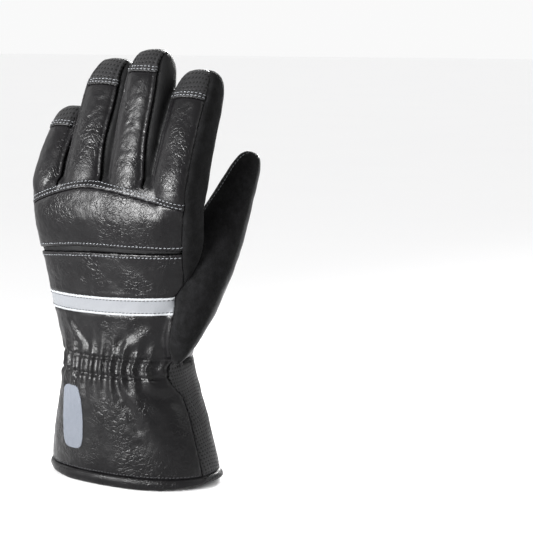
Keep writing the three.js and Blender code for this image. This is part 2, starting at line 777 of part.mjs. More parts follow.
// The band of reflective tape over the seam above the wrist
function addStrip() {
  const sides = ringAngles(backSides, palmSides);
  const skin = (offset) => loft([-0.8, 0, 0.8].map(
    (share) => bodyRing(stripHeight + share * stripWidth, offset, sides, true),
  )).add(thumbSolid(offset, fingerSides));
  const band = prism([
    [-FAR, stripHeight - stripWidth / 2],
    [FAR, stripHeight - stripWidth / 2],
    [FAR, stripHeight + stripWidth / 2],
    [-FAR, stripHeight + stripWidth / 2],
  ]);
  const tape = skin(stripGap + stripThickness).subtract(skin(stripGap))
    .intersect(band)
    .intersect(backRegion(-seamGap / 2))
    .subtract(thumbRegion(seamGap))
    .subtract(sideStrip(fingers[0], sidePanelFoot, radialRows)(seamGap / 2))
    .subtract(sideStrip(fingers[3], sideStripFoot, ulnarRows)(seamGap / 2));
  addPanel('reflective_strip', tape, reflective);
}

// The rolled hem that the glove stands on, in a back and a palm half
function addHem() {
  const ring = (offset) => loft([-2, 0, 0.5, 1].map((share) => {
    const z = share * hemHeight - (share > 0.9 ? seamGap / 2 : 0);
    const bulge = share === 1 || share === 0 ? hemEdgeRoll : 1;
    return bodyRing(z, offset > 0 ? offset * bulge : offset, bodySides, false);
  }));
  const half = cuffWidth / 2;
  const flat = cuffWidth * hemFlatShare;
  const past = 2 * (half - flat);
  const over = hemLift * (1 + past / (half - flat));
  const underside = prism([[-half - past, -FAR], [half + past, -FAR], [half + past, over],
    [half, hemLift], [flat, 0], [-flat, 0], [-half, hemLift], [-half - past, over]]);
  const hem = ring(hemRoll).subtract(ring(-wall)).subtract(underside);
  const [back, palm] = cut(hem, backRegion);
  addPanel('hem_back', back, leather);
  addPanel('hem_palm', palm, perforated);
}

const [thumb, hand] = cut(hollowWall, thumbRegion);
const [upperHand] = cut(hand, hemSeam);
const [ulnar, withoutUlnar] = cut(upperHand, sideStrip(fingers[3], sideStripFoot, ulnarRows));
const [radial, withoutSides] = cut(withoutUlnar, sideStrip(fingers[0], sidePanelFoot, radialRows));
let faces = withoutSides;
for (let i = 0; i < fingers.length - 1; i += 1) {
  const [fourchette, rest] = cut(faces, fourchetteRegion(fingers[i], fingers[i + 1]));
  addPanel(`fourchette_${fingers[i].name}_${fingers[i + 1].name}`, fourchette, suede);
  faces = rest;
}
const [back, palm] = cut(faces, backRegion);

addThumb(thumb);
addPanel('side_panel_index', radial, suede);
addPanel('side_strip_little', ulnar, suede);
addBack(back);
addPanel('palm_perforated', palm, perforated);
addStrip();
addHem();

// The origin is on the ground, under the middle of the whole glove.
const bounds = new THREE.Box3().setFromObject(glove);
const centre = bounds.getCenter(new THREE.Vector3());
glove.position.set(-centre.x, -centre.y, -bounds.min.z);

export default glove;
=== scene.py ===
# %% [markdown]
# # A firefighter's glove, from its frame to its stitches
# The glove is a left-hand work glove of black leather that stands on its cuff. The frame is the packed
# solid model: it gives the place and size of every panel. This script builds the soft, sewn look around it.
# A reader learns here how one smooth hand form is rolled out of flat grids, cut along its seams into the
# panels that a maker would cut from leather, and finished with thickness, folds, stitches and grain.

# %% Load the frame
import math
from collections import defaultdict

import bpy
import numpy as np
from mathutils import Matrix, Vector, kdtree, noise


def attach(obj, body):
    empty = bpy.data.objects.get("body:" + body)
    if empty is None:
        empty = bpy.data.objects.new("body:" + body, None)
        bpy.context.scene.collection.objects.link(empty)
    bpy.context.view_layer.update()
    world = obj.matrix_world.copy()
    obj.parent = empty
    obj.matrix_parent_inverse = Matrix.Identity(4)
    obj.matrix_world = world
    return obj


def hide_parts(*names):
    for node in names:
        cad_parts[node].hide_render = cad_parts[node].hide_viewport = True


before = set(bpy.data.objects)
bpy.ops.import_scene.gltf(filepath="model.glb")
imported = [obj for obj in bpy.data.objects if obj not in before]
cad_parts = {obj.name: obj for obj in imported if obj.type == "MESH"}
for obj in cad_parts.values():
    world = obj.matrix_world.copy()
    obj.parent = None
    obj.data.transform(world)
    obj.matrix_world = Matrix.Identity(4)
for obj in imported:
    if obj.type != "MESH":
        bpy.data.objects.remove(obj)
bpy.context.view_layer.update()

MM = 0.001
SHIFT = np.array([-9.123, 5.722, 0.0])  # the hand form's own origin, in the frame, in mm

# %% [markdown]
# ## The camera
# The photograph looks at the back of the hand, a little from the thumb side and from above. The camera is
# made first, because everything else is judged through it. A long lens keeps the upright glove from leaning.
# The glove stands left of the middle of the picture, so the camera is aimed beside it and isn't shifted.

# %% Make the camera
AZIMUTH, ELEVATION, DISTANCE = math.radians(32), math.radians(8), 1.2
FOCAL_PIXELS, IMAGE_PIXELS = 1702, 533
TARGET = Vector((-0.0091, 0.0057, 0.152))
TARGET_PIXEL = (136, 263.5)

forward = Vector((-math.sin(AZIMUTH) * math.cos(ELEVATION), math.cos(AZIMUTH) * math.cos(ELEVATION),
                  -math.sin(ELEVATION)))
right = Vector((math.cos(AZIMUTH), math.sin(AZIMUTH), 0))
up = right.cross(forward)
aside = (TARGET_PIXEL[0] - IMAGE_PIXELS / 2) / FOCAL_PIXELS
above = (TARGET_PIXEL[1] - IMAGE_PIXELS / 2) / FOCAL_PIXELS
eye = TARGET - DISTANCE * (forward + right * aside - up * above)
bpy.ops.object.camera_add(location=eye)
camera = bpy.context.object
camera.matrix_world = Matrix((
    (right.x, up.x, -forward.x, eye.x), (right.y, up.y, -forward.y, eye.y),
    (right.z, up.z, -forward.z, eye.z), (0, 0, 0, 1)))
camera.data.sensor_width = 36
camera.data.lens = FOCAL_PIXELS / IMAGE_PIXELS * camera.data.sensor_width
camera.data.clip_start = 0.05
bpy.context.scene.camera = camera
print("camera at", tuple(round(c, 3) for c in eye), "lens", round(camera.data.lens, 1), "mm")

# %% [markdown]
# ## The measures of the hand form
# A glove is patterned on sections: how wide and deep the hand is at the wrist, the palm and along each
# finger. The tables below are those sections, in millimetres and in shares of the main sizes. Each row
# starts with its place, and a smooth curve runs through the rows, as a spline would through fit points.

# %% Tables of sections
CUFF_HEIGHT, PALM_HEIGHT, HEM_HEIGHT = 77, 130, 8
CUFF, WRIST, PALM = (132.5, 78), (97, 71), (140, 42)
WRIST_LEAN, KNUCKLE_LEAN, LEAN_POWER, PALM_SHIFT, CUFF_SHIFT = 7, 31, 0.7, 6, -1.4
KNUCKLES = CUFF_HEIGHT + PALM_HEIGHT
CROTCH_SLOPE = -0.22

CUFF_ROWS = [(0, 0), (.25, .12), (.55, .44), (.76, .76), (.9, .94), (1, 1)]
# rise, then how far little side, thumb side, depth and lean have gone from wrist to knuckles
PALM_ROWS = [(0, 0, 0, 0, 0), (.06, .05, .02, .1, .02), (.13, .21, .07, .25, .05),
             (.22, .44, .23, .4, .11), (.36, .61, .44, .52, .23), (.52, .76, .61, .63, .4),
             (.7, .95, .79, .75, .64), (.86, 1, .93, .89, .88), (1, 1, 1, 1, 1)]
# height (0 hem, 1 wrist, 2 knuckles), then how square the section is, from an ellipse (2) upwards
BOXY_ROWS = [(0, 2.35), (.5, 2.4), (.85, 2.65), (1, 2.45), (1.1, 2.2), (1.5, 2.3), (2, 2.45)]
FINGER_BOXY, THUMB_BOXY = 2.4, 2.1
# height over the knuckles, then shares of width, depth and slope
CROWN_ROWS = [(-18, 1, 1, 0), (-9, 1, .95, .4), (0, .985, .86, 1), (5.4, .95, .6, 1), (9, .9, .3, 1)]
# name: axis x at root and tip, length, width, depth, curl, nail seam
FINGERS = {
    "index": (59.4, 59.4, 81.2, 35, 32, 31, .7), "middle": (23.6, 25, 95, 35, 33, 23, .8),
    "ring": (-14, -12.8, 88, 37.8, 32, 32, .735), "little": (-46, -43.5, 54, 31, 28, 26, .65)}
# share of the length, then shares of width, depth and curl
FINGER_ROWS = [(-.3, .5, .6, 0), (-.1, .89, 1, 0), (.04, 1.0, 1.1, .02), (.3, 1.03, 1.02, .22),
               (.56, 1, .98, .5), (.76, .97, .93, .74), (.89, .86, .77, .92), (.965, .66, .5, 1.01),
               (1, .34, .2, 1.05)]
FINGER_START = -0.3  # the fingers start inside the hand, so that they join
THUMB_RISE, THUMB_OUT, THUMB_FORWARD, THUMB_WIDTH = 144, 32.5, 48, 40
THUMB_FOOT = np.array([46, -19, 88.])
THUMB_DEPTH_SHARE = 0.96
# share of the rise, then shares of the way out and forward, and of the width
THUMB_ROWS = [(0, 0, 0, .2), (.04, .03, 0, .38), (.11, .14, -.02, .58), (.19, .22, .03, .76),
              (.28, .28, .13, .9), (.42, .38, .29, 1), (.56, .53, .46, .97), (.7, .69, .635, .82),
              (.83, .835, .8, .64), (.93, .94, .92, .5), (.98, .99, .99, .35), (1, 1, 1, .18)]


def read(rows, place):
    """The table's columns at each place, along a smooth curve through the rows."""
    table = np.array(rows, float)
    place = np.asarray(place, float)
    key, last = table[:, 0], len(table) - 1
    low = np.maximum(np.arange(last + 1) - 1, 0)
    high = np.minimum(np.arange(last + 1) + 1, last)
    slope = (table[high] - table[low]) / (key[high] - key[low])[:, None]
    i = np.clip(np.searchsorted(key, place, side="right") - 1, 0, last - 1)
    span = key[i + 1] - key[i]
    t = np.clip((place - key[i]) / span, 0, 1)[..., None]
    span = span[..., None]
    value = ((2 * t**3 - 3 * t**2 + 1) * table[i] + (t**3 - 2 * t**2 + t) * slope[i] * span
             + (3 * t**2 - 2 * t**3) * table[i + 1] + (t**3 - t**2) * slope[i + 1] * span)
    return np.moveaxis(value[..., 1:], -1, 0)


def mix(a, b, share):
    return a + (b - a) * share


def rounded(value, boxy):
    """A point's factor on a rounded box: 2 is an ellipse, and more is squarer."""
    return np.sign(value) * np.abs(value) ** (2 / boxy)


def section(z):
    """Left, right, middle y, half depth and boxiness of the hand at each height."""
    z = np.asarray(z, float)
    share = np.clip(z / CUFF_HEIGHT, 0, 1)
    narrow = read(CUFF_ROWS, share)[0]
    rise = np.clip((z - CUFF_HEIGHT) / PALM_HEIGHT, 0, 1)
    little, thumb, depth, lean = read(PALM_ROWS, rise)
    half = mix(CUFF[0], WRIST[0], narrow) / 2
    in_cuff = z <= CUFF_HEIGHT
    wrist, palm = WRIST[0] / 2, PALM[0] / 2
    left = np.where(in_cuff, CUFF_SHIFT - half, mix(CUFF_SHIFT - wrist, PALM_SHIFT - palm, little))
    right = np.where(in_cuff, CUFF_SHIFT + half, mix(CUFF_SHIFT + wrist, PALM_SHIFT + palm, thumb))
    y = np.where(in_cuff, -WRIST_LEAN * share**LEAN_POWER, -mix(WRIST_LEAN, KNUCKLE_LEAN, lean))
    deep = np.where(in_cuff, mix(CUFF[1], WRIST[1], narrow), mix(WRIST[1], PALM[1], depth)) / 2
    boxy = read(BOXY_ROWS, np.where(in_cuff, share, 1 + rise))[0]
    return left, right, y, deep, boxy


# %% Axes of the fingers and the thumb
def unit(vectors):
    return vectors / np.linalg.norm(vectors, axis=-1, keepdims=True)


def frame_of(place, along, step, low, high):
    """Point, across and deep directions of an axis at each share of its length."""
    ahead = unit(place(np.minimum(along + step, high)) - place(np.maximum(along - step, low)))
    deep = unit(np.cross(ahead, [1.0, 0, 0]))
    return place(along), np.cross(deep, ahead), deep


def finger_place(name):
    root, tip, length, _, _, curl, _ = FINGERS[name]

    def place(along):
        bent = curl * read(FINGER_ROWS, along)[2]
        lean = np.where(along < 0, section(KNUCKLES + length * along)[2], -KNUCKLE_LEAN)
        return np.stack([mix(root, tip, np.maximum(0, along)), lean + bent, KNUCKLES + length * along], -1)
    return place


def finger_frame(name, along):
    return frame_of(finger_place(name), along, 0.02, -2, 2)


def thumb_place(along):
    out, ahead, _ = read(THUMB_ROWS, along)
    return THUMB_FOOT + np.stack([THUMB_OUT * out, THUMB_FORWARD * ahead, THUMB_RISE * along], -1)


def thumb_frame(along):
    return frame_of(thumb_place, along, 0.04, 0, 1)


print("index is", FINGERS["index"][2], "mm above the knuckles, crown at", KNUCKLES + CROWN_ROWS[-1][0])

# %% [markdown]
# ## The hand form
# The whole glove starts as one smooth form, because leather that is sewn together is pulled into one
# surface. Each part could be a box that is subdivided and sculpted, but a grid that is rolled into a tube
# follows the tables exactly. The six tubes are joined, remeshed into one skin and smoothed, which also
# draws the soft webs between the fingers that no single tube has.

# %% Roll the tubes
FORM_FOOT = -4.0  # the form reaches below the hem, where it is cut off


def vectors(items, key):
    """One vector of every item of a mesh, in rows."""
    flat = np.empty(len(items) * 3)
    items.foreach_get(key, flat)
    return flat.reshape(-1, 3)


def roll_tube(name, around, along, place):
    """A flat grid rolled into a closed tube: place(u, v) gives points in mm, u round and v along it."""
    bpy.ops.object.select_all(action="DESELECT")
    bpy.ops.mesh.primitive_grid_add(x_subdivisions=around, y_subdivisions=along, size=1)
    tube = bpy.context.object
    tube.name = name
    flat = vectors(tube.data.vertices, "co") + 0.5
    points = (place(flat[:, 0], flat[:, 1]) + SHIFT) * MM
    tube.data.vertices.foreach_set("co", points.ravel())
    bpy.ops.object.mode_set(mode="EDIT")
    bpy.ops.mesh.select_all(action="SELECT")
    bpy.ops.mesh.remove_doubles(threshold=1e-5)
    bpy.ops.mesh.fill_holes(sides=0)
    bpy.ops.mesh.select_all(action="SELECT")
    bpy.ops.mesh.normals_make_consistent(inside=False)
    bpy.ops.object.mode_set(mode="OBJECT")
    return tube


def body_place(u, v):
    z = mix(FORM_FOOT, KNUCKLES + CROWN_ROWS[-1][0], v)
    left, right, y, deep, boxy = section(np.minimum(z, KNUCKLES))
    share_width, share_depth, slope = read(CROWN_ROWS, z - KNUCKLES)
    angle = 2 * np.pi * u
    behind = rounded(np.sin(angle), boxy) * deep * share_depth
    x = (left + right) / 2 + rounded(np.cos(angle), boxy) * (right - left) / 2 * share_width
    return np.stack([x, y + behind, z + CROTCH_SLOPE * slope * behind], -1)


def tube_place(axis_frame, half_width, half_depth, boxy, u):
    at, across, deep = axis_frame
    angle = 2 * np.pi * u
    return (at + across * (rounded(np.cos(angle), boxy) * half_width)[:, None]
            + deep * (rounded(np.sin(angle), boxy) * half_depth)[:, None])


def finger_tube(name):
    _, _, _, width, depth, _, _ = FINGERS[name]

    def place(u, v):
        along = mix(FINGER_START, 1.0, v)
        wide, deep, _ = read(FINGER_ROWS, along)
        return tube_place(finger_frame(name, along), wide * width / 2, deep * depth / 2, FINGER_BOXY, u)
    return place


def thumb_tube(u, v):
    wide = read(THUMB_ROWS, v)[2] * THUMB_WIDTH / 2
    return tube_place(thumb_frame(v), wide, wide * THUMB_DEPTH_SHARE, THUMB_BOXY, u)


tubes = [roll_tube("hand_form", 120, 140, body_place), roll_tube("thumb_form", 48, 90, thumb_tube)]
tubes += [roll_tube(name + "_form", 48, 80, finger_tube(name)) for name in FINGERS]
print("tubes", len(tubes), "vertices", sum(len(t.data.vertices) for t in tubes))

# %% Join them into one skin
VOXEL = 1.15 * MM
bpy.ops.object.select_all(action="DESELECT")
for tube in tubes:
    tube.select_set(True)
bpy.context.view_layer.objects.active = tubes[0]
bpy.ops.object.join()
form = bpy.context.object
remesh = form.modifiers.new("one skin", "REMESH")
remesh.mode = "VOXEL"
remesh.voxel_size = VOXEL
bpy.ops.object.modifier_apply(modifier=remesh.name)
relax = form.modifiers.new("soft webs", "SMOOTH")
relax.factor = 0.5
relax.iterations = 7
bpy.ops.object.modifier_apply(modifier=relax.name)
print("skin vertices", len(form.data.vertices))


class Skin:
    """The hand form as arrays: points and normals in mm, triangles, and each triangle's panel."""

    def __init__(self, source):
        mesh = source.data
        mesh.calc_loop_triangles()
        self.points = vectors(mesh.vertices, "co") / MM - SHIFT
        self.normals = vectors(mesh.vertex_normals, "vector")
        tris = np.empty(len(mesh.loop_triangles) * 3, int)
        mesh.loop_triangles.foreach_get("vertices", tris)
        self.tris = tris.reshape(-1, 3)
        self.panel = np.zeros(len(self.tris), int)
        self.pinned = np.zeros(len(self.points), bool)
        self.seams = []


skin = Skin(form)
bpy.data.objects.remove(form)

# %% [markdown]
# ## Cutting the skin along its seams
# A pattern maker draws the seams on the hand form and cuts there. In Blender a knife or a boolean could cut
# it, but each seam here is a rule, such as "above this line" or "within this angle of the finger's axis".
# So each rule gives every point a number that is positive inside the new panel, and the skin is cut exactly
# where that number is zero. Points that already lie close to the line are slid onto it, so that the cut
# edge is clean and leaves no splinters.

# %% Cut by a rule
PANELS = ["waste", "hand", "thumb_outer_leather", "thumb_pad_perforated", "thumb_back_suede",
          "side_panel_index", "side_strip_little", "fourchette_index_middle", "fourchette_middle_ring",
          "fourchette_ring_little", "finger_back_leather", "knuckle_leather", "flex_gusset",
          "hand_back_leather", "cuff_back_leather", "palm_perforated"]
NUMBER = {name: i for i, name in enumerate(PANELS)}
NEARLY_NOUGHT = 1e-9
skin.panel[:] = NUMBER["hand"]


def edge_keys(tris, count):
    """Each triangle's three edges as single numbers, the lower vertex first."""
    a, b = tris, np.roll(tris, -1, axis=1)
    return np.minimum(a, b) * count + np.maximum(a, b)


def slide_to_line(skin, value, keys, near=0.22):
    """Moves points that are close to the line along an edge onto it."""
    count = len(skin.points)
    i, j = keys // count, keys % count
    t = value[i] / (value[i] - value[j])
    ends = np.concatenate([i, j])
    others = np.concatenate([j, i])
    way = np.concatenate([t, 1 - t])
    ok = (way < near) & ~skin.pinned[ends]
    ends, others, way = ends[ok], others[ok], way[ok]
    order = np.argsort(way)
    ends, first = np.unique(ends[order], return_index=True)
    others, way = others[order][first], way[order][first][:, None]
    target = mix(skin.points[ends], skin.points[others], way)
    skin.points[ends] = target
    value[ends] = 0


def cut(skin, old, new, rule, kind="turned"):
    """Gives the part of panel old where rule(points) is positive to panel new."""
    value = rule(skin.points)
    value[np.abs(value) < NEARLY_NOUGHT] = NEARLY_NOUGHT
    mine = skin.panel == NUMBER[old]
    for sliding in (True, False):
        count = len(skin.points)
        keys = np.unique(edge_keys(skin.tris[mine], count))
        keys = keys[value[keys // count] * value[keys % count] < 0]
        if sliding:
            slide_to_line(skin, value, keys)
    i, j = keys // count, keys % count
    t = (value[i] / (value[i] - value[j]))[:, None]
    skin.points = np.vstack([skin.points, mix(skin.points[i], skin.points[j], t)])
    skin.normals = np.vstack([skin.normals, unit(mix(skin.normals[i], skin.normals[j], t))])
    skin.pinned = np.concatenate([skin.pinned, np.ones(len(keys), bool)])
    value = np.concatenate([value, np.zeros(len(keys))])
    number = {int(key): count + n for n, key in enumerate(keys)}
    tris, panel = skin.tris[~mine].tolist(), skin.panel[~mine].tolist()
    own = skin.tris[mine]
    hit = np.isin(edge_keys(own, count), keys)
    whole = ~hit.any(axis=1)
    sign = value[own].sum(axis=1) > 0
    new_number, old_number = NUMBER[new], NUMBER[old]
    kept = own[whole]
    made = [(tuple(tri), new_number if s else old_number) for tri, s in zip(kept.tolist(), sign[whole])]
    for tri, marks in zip(own[~whole].tolist(), hit[~whole]):
        ring = []
        for k in range(3):
            a, b = tri[k], tri[(k + 1) % 3]
            ring.append(a)
            if marks[k]:
                ring.append(number[min(a, b) * count + max(a, b)])
        for positive in (True, False):
            part = [v for v in ring if (value[v] >= 0 if positive else value[v] <= 0)]
            for k in range(1, len(part) - 1):
                side = new_number if positive else old_number
                made.append(((part[0], part[k], part[k + 1]), side))
    skin.tris = np.array(tris + [m[0] for m in made])
    skin.panel = np.array(panel + [m[1] for m in made])
    count = len(skin.points)
    one = np.unique(edge_keys(skin.tris[skin.panel == new_number], count))
    two = np.unique(edge_keys(skin.tris[skin.panel == old_number], count))
    seam = np.intersect1d(one, two)
    skin.pinned[seam // count] = True
    skin.pinned[seam % count] = True
    skin.seams.append((kind, np.stack([seam // count, seam % count], 1)))


# %% Rules for the thumb
# share of the rise, then the angles of the thumb's three seams about its axis, in degrees
THUMB_SEAMS = [(0, 8, 150, 208), (.3, 10, 138, 212), (.6, 13, 104, 226), (1, 15, 98, 230)]
# share of the rise, then how far the thumb's ball reaches into the palm, in widths of the thumb
THENAR_ROWS = [(.015, .04), (.04, .3), (.09, .56), (.16, .73), (.26, .82), (.38, .83), (.5, .7),
               (.6, .5), (.7, .27), (.76, .1)]
# share of the rise, then how far out the thumb's leather starts on the back, in half widths of the wrist
THUMB_BACK_ROWS = [(-.5, .94), (.06, .98), (.17, 1.05), (.28, 1.1), (.39, 1.14), (.51, 1.19),
                   (.62, 1.1), (1.5, .9)]
THUMB_STEPS = np.linspace(0, 1, 160)
THUMB_LINE = thumb_frame(THUMB_STEPS)
THUMB_SEAM_OUT = 1  # mm between the thumb's tube and the seam round its foot
BLOCK = 20000  # points that are measured at once


def nearest_on_thumb(points):
    """For each point, the nearest step of the thumb's axis and the distance to it."""
    near = np.zeros(len(points), int)
    for start in range(0, len(points), BLOCK):
        block = points[start:start + BLOCK]
        gap = ((block[:, None, :] - THUMB_LINE[0][None]) ** 2).sum(axis=2)
        near[start:start + BLOCK] = gap.argmin(axis=1)
    return near, np.linalg.norm(points - THUMB_LINE[0][near], axis=1)


def thumb_rule(points):
    """Inside the thumb's tube, but not far round the back, or on the ball of the thumb."""
    near, gap = nearest_on_thumb(points)
    tube = read(THUMB_ROWS, THUMB_STEPS[near])[2] * THUMB_WIDTH / 2 + THUMB_SEAM_OUT - gap
    along = (points[:, 2] - THUMB_FOOT[2]) / THUMB_RISE
    back_edge = points[:, 0] - read(THUMB_BACK_ROWS, along)[0] * WRIST[0] / 2
    tube = np.minimum(tube, back_edge)
    inside = np.clip(along, 0, 1)
    axis = thumb_place(inside)
    seam = axis[:, 0] - read(THENAR_ROWS, inside)[0] * THUMB_WIDTH
    ends = np.minimum(along - THENAR_ROWS[0][0], THENAR_ROWS[-1][0] - along) * THUMB_RISE
    ball = np.minimum(np.minimum(points[:, 0] - seam, points[:, 1] - axis[:, 1]), ends)
    return np.maximum(tube, ball)


def thumb_angle(points):
    """The angle of each point about the thumb's axis, and the step and distance there."""
    near, gap = nearest_on_thumb(points)
    at, across, deep = (part[near] for part in THUMB_LINE)
    away = points - at
    return np.degrees(np.arctan2((away * deep).sum(1), (away * across).sum(1))) % 360, near, gap


def thumb_wedge(start, end):
    """Gives the rule for the thumb's leather between two of its three seams."""
    def rule(points):
        angle, near, gap = thumb_angle(points)
        rows = read(THUMB_SEAMS, THUMB_STEPS[near])
        low, high = rows[start], rows[end]
        middle = (low + high) / 2
        off = np.abs((angle - middle + 180) % 360 - 180)
        return np.radians((high - low) / 2 - off) * np.maximum(gap, 4)
    return rule


# %% Rules for the sides and the fingers
# share of the way from the strip's foot to the fingertip, then its angles towards back and palm, and for
# the thumb's side how far the axis is set in, as a share of the palm's width
ULNAR_FOOT, RADIAL_FOOT = 104, 86
ULNAR_ROWS = [(0, 3, 3), (.06, 12, 16), (.2, 20, 34), (.45, 26, 44), (.7, 30, 50), (1.2, 30, 52)]
RADIAL_ROWS = [(0, 16, 40, .15), (.12, 30, 52, .125), (.36, 43, 60, .07), (.46, 48, 84, .03),
               (.55, 47, 62, 0), (.66, 42, 48, 0), (1.2, 42, 48, 0)]
# share of the finger's length, then of its width that its leather covers between the sidewalls
STRIP_ROWS = [(-.1, .86), (.1, .84), (.35, .76), (.75, .74), (.95, .62), (1.2, .45)]
# the two fingers, and how high the web between them is over the knuckles
CROTCHES = [("index", "middle", .6), ("middle", "ring", 3.6), ("ring", "little", -1.8)]
WEB_ROUND = 0.072  # height of a sidewall's round end, as a share of its fingers


def side_rule(name, foot, rows):
    """A strip down a finger's outer side: within two angles of the finger's axis."""
    root, tip, length, _, _, _, _ = FINGERS[name]
    outward = np.sign(root)

    def rule(points):
        z = points[:, 2]
        along = (z - KNUCKLES) / length
        share = (z - foot) / (KNUCKLES + length - foot)
        columns = read(rows, share)
        inset = columns[2] * PALM[0] if len(columns) > 2 else 0
        x = mix(root, tip, np.maximum(0, along)) - inset
        y = np.where(along > 0, finger_place(name)(along)[:, 1], section(z)[2])
        away = (points[:, 0] - x) * outward
        angle = np.degrees(np.arctan2(points[:, 1] - y, away))
        edge = np.radians(np.minimum(angle + columns[0], columns[1] - angle))
        radius = np.hypot(away, points[:, 1] - y)
        return np.minimum(edge * np.maximum(radius, 5), (z - foot))
    return rule


def strip_edge(name, z, side):
    """The x of the edge of a finger's leather at each height, on one side of it."""
    root, tip, length, width, _, _, _ = FINGERS[name]
    along = (z - KNUCKLES) / length
    return mix(root, tip, np.maximum(0, along)) + side * width / 2 * read(STRIP_ROWS, along)[0]


def fourchette_rule(outer, inner, crotch):
    """Between the leather of two fingers, down to a round end at their web."""
    foot = KNUCKLES + crotch
    low = foot + WEB_ROUND * max(FINGERS[outer][2], FINGERS[inner][2])

    def rule(points):
        z = points[:, 2] - CROTCH_SLOPE * (points[:, 1] + KNUCKLE_LEAN)
        level = np.maximum(z, low)
        start, end = strip_edge(inner, level, 1), strip_edge(outer, level, -1)
        middle, half = (start + end) / 2, (end - start) / 2
        down = np.minimum(0, z - low) / (low - foot)
        return half * (1 - np.hypot((points[:, 0] - middle) / half, down))
    return rule


# %% Rules for the back of the hand
# height (0 hem, 1 wrist, 2 knuckles), then how far towards the palm the seams of the little finger's side
# and of the thumb's side lie, in half depths
CUFF_SEAM_ROWS = [(0, .12, -.23), (.5, .1, -.21), (.83, .06, -.18), (.92, .05, -.36), (1.05, .04, -.47),
                  (1.18, .02, -.29), (2.1, 0, 0)]
# x, then the heights of the curved seam, of the slit's two edges, and of the tape's middle, in mm
KNUCKLE_SEAM_ROWS = [(-73.8, 189), (-45.9, 200), (-10, 209), (14, 208), (46, 202), (85.8, 193)]
SLIT_ROWS = [(-73.8, 159, 161.8), (-18, 164.2, 168.4), (38, 165.8, 169.1), (85.8, 167, 168.8)]
TAPE_ROWS = [(-62, 127.2), (-10, 127.6), (23, 128.5), (60, 130.6)]
TAPE_WIDTH = 12
BACK_TOP = 0.98  # where the hand's own back ends, in heights of the palm
FINGER_BLOCK = (0.6, 0.2)  # reach beside a finger's axis, in widths, and below, in lengths


def back_rule(points):
    """In front of the side seams, and below the nail seam of each finger."""
    z = points[:, 2]
    left, right, y, deep, _ = section(np.maximum(0, z))
    rise = np.where(z < CUFF_HEIGHT, z / CUFF_HEIGHT, 1 + (z - CUFF_HEIGHT) / PALM_HEIGHT)
    little, thumb = read(CUFF_SEAM_ROWS, np.maximum(0, rise))
    share = (points[:, 0] - left) / (right - left)
    front = y + deep * mix(little, thumb, share) - points[:, 1]
    value = np.minimum(front, CUFF_HEIGHT + BACK_TOP * PALM_HEIGHT - z)
    for name, (_, _, length, width, _, _, nail) in FINGERS.items():
        along = (z - KNUCKLES) / length
        at, _, deep_way = finger_frame(name, along)
        ahead = np.cross([1.0, 0, 0], deep_way)
        top = finger_place(name)(np.full(1, nail))
        below_nail = ((top - points) * ahead).sum(1)
        facing = -((points - at) * deep_way).sum(1)
        beside = width * FINGER_BLOCK[0] - np.abs(points[:, 0] - at[:, 0])
        over_foot = (along + FINGER_BLOCK[1]) * length
        block = np.minimum(np.minimum(below_nail, facing), np.minimum(beside, over_foot))
        value = np.maximum(value, block)
    return value


def over_line(rows, column=0):
    """Gives the rule for how far a point lies over a line across the glove."""
    return lambda points: points[:, 2] - read(rows, points[:, 0])[column]


# %% Cut all the panels
cut(skin, "hand", "thumb_back_suede", thumb_rule)
cut(skin, "hand", "waste", lambda points: HEM_HEIGHT - points[:, 2])
cut(skin, "hand", "side_strip_little", side_rule("little", ULNAR_FOOT, ULNAR_ROWS))
cut(skin, "hand", "side_panel_index", side_rule("index", RADIAL_FOOT, RADIAL_ROWS))
for outer, inner, crotch in CROTCHES:
    cut(skin, "hand", f"fourchette_{outer}_{inner}", fourchette_rule(outer, inner, crotch), "piped")
BACK_SEAM = len(skin.seams)
cut(skin, "hand", "finger_back_leather", back_rule)
skin.panel[skin.panel == NUMBER["hand"]] = NUMBER["palm_perforated"]
cut(skin, "finger_back_leather", "knuckle_leather", lambda p: -over_line(KNUCKLE_SEAM_ROWS)(p), "lapped")
cut(skin, "knuckle_leather", "flex_gusset", lambda p: -over_line(SLIT_ROWS, 1)(p), "slit")
cut(skin, "flex_gusset", "hand_back_leather", lambda p: -over_line(SLIT_ROWS, 0)(p), "slit")
cut(skin, "hand_back_leather", "cuff_back_leather", lambda p: -over_line(TAPE_ROWS)(p), "flat")
cut(skin, "thumb_back_suede", "thumb_outer_leather", thumb_wedge(0, 1))
cut(skin, "thumb_back_suede", "thumb_pad_perforated", thumb_wedge(1, 2))
for name in PANELS:
    print(f"{name:28s} triangles {int((skin.panel == NUMBER[name]).sum())}")

# %% [markdown]
# ## Seams, folds and gathers
# Leather dips into a turned seam, because both edges are folded inside. Where one panel is lapped over
# another, its edge stands up instead and casts the dark line under the stitches. At the wrist two rows of
# elastic draw the back into pleats. Cloth simulation could make such folds, but these have their own places
# on the real glove, so they are written as ridges and valleys with ends, a height and a width, and the skin
# is moved along its normals by them.

# %% Distance to the seams
def seam_tree(kinds):
    """Finds the distance to seams of some kinds, from points spaced closely along them."""
    ends = np.vstack([pairs for kind, pairs in skin.seams if kind in kinds])
    a, b = skin.points[ends[:, 0]], skin.points[ends[:, 1]]
    spots = np.vstack([mix(a, b, share) for share in (0, 0.25, 0.5, 0.75)])
    tree = kdtree.KDTree(len(spots))
    for i, spot in enumerate(spots):
        tree.insert(spot, i)
    tree.balance()
    return tree


def distance(tree, points):
    return np.array([tree.find(point)[2] for point in points])


NAIL_REACH = 0.4  # mm from the nail's level that still counts as the nail seam


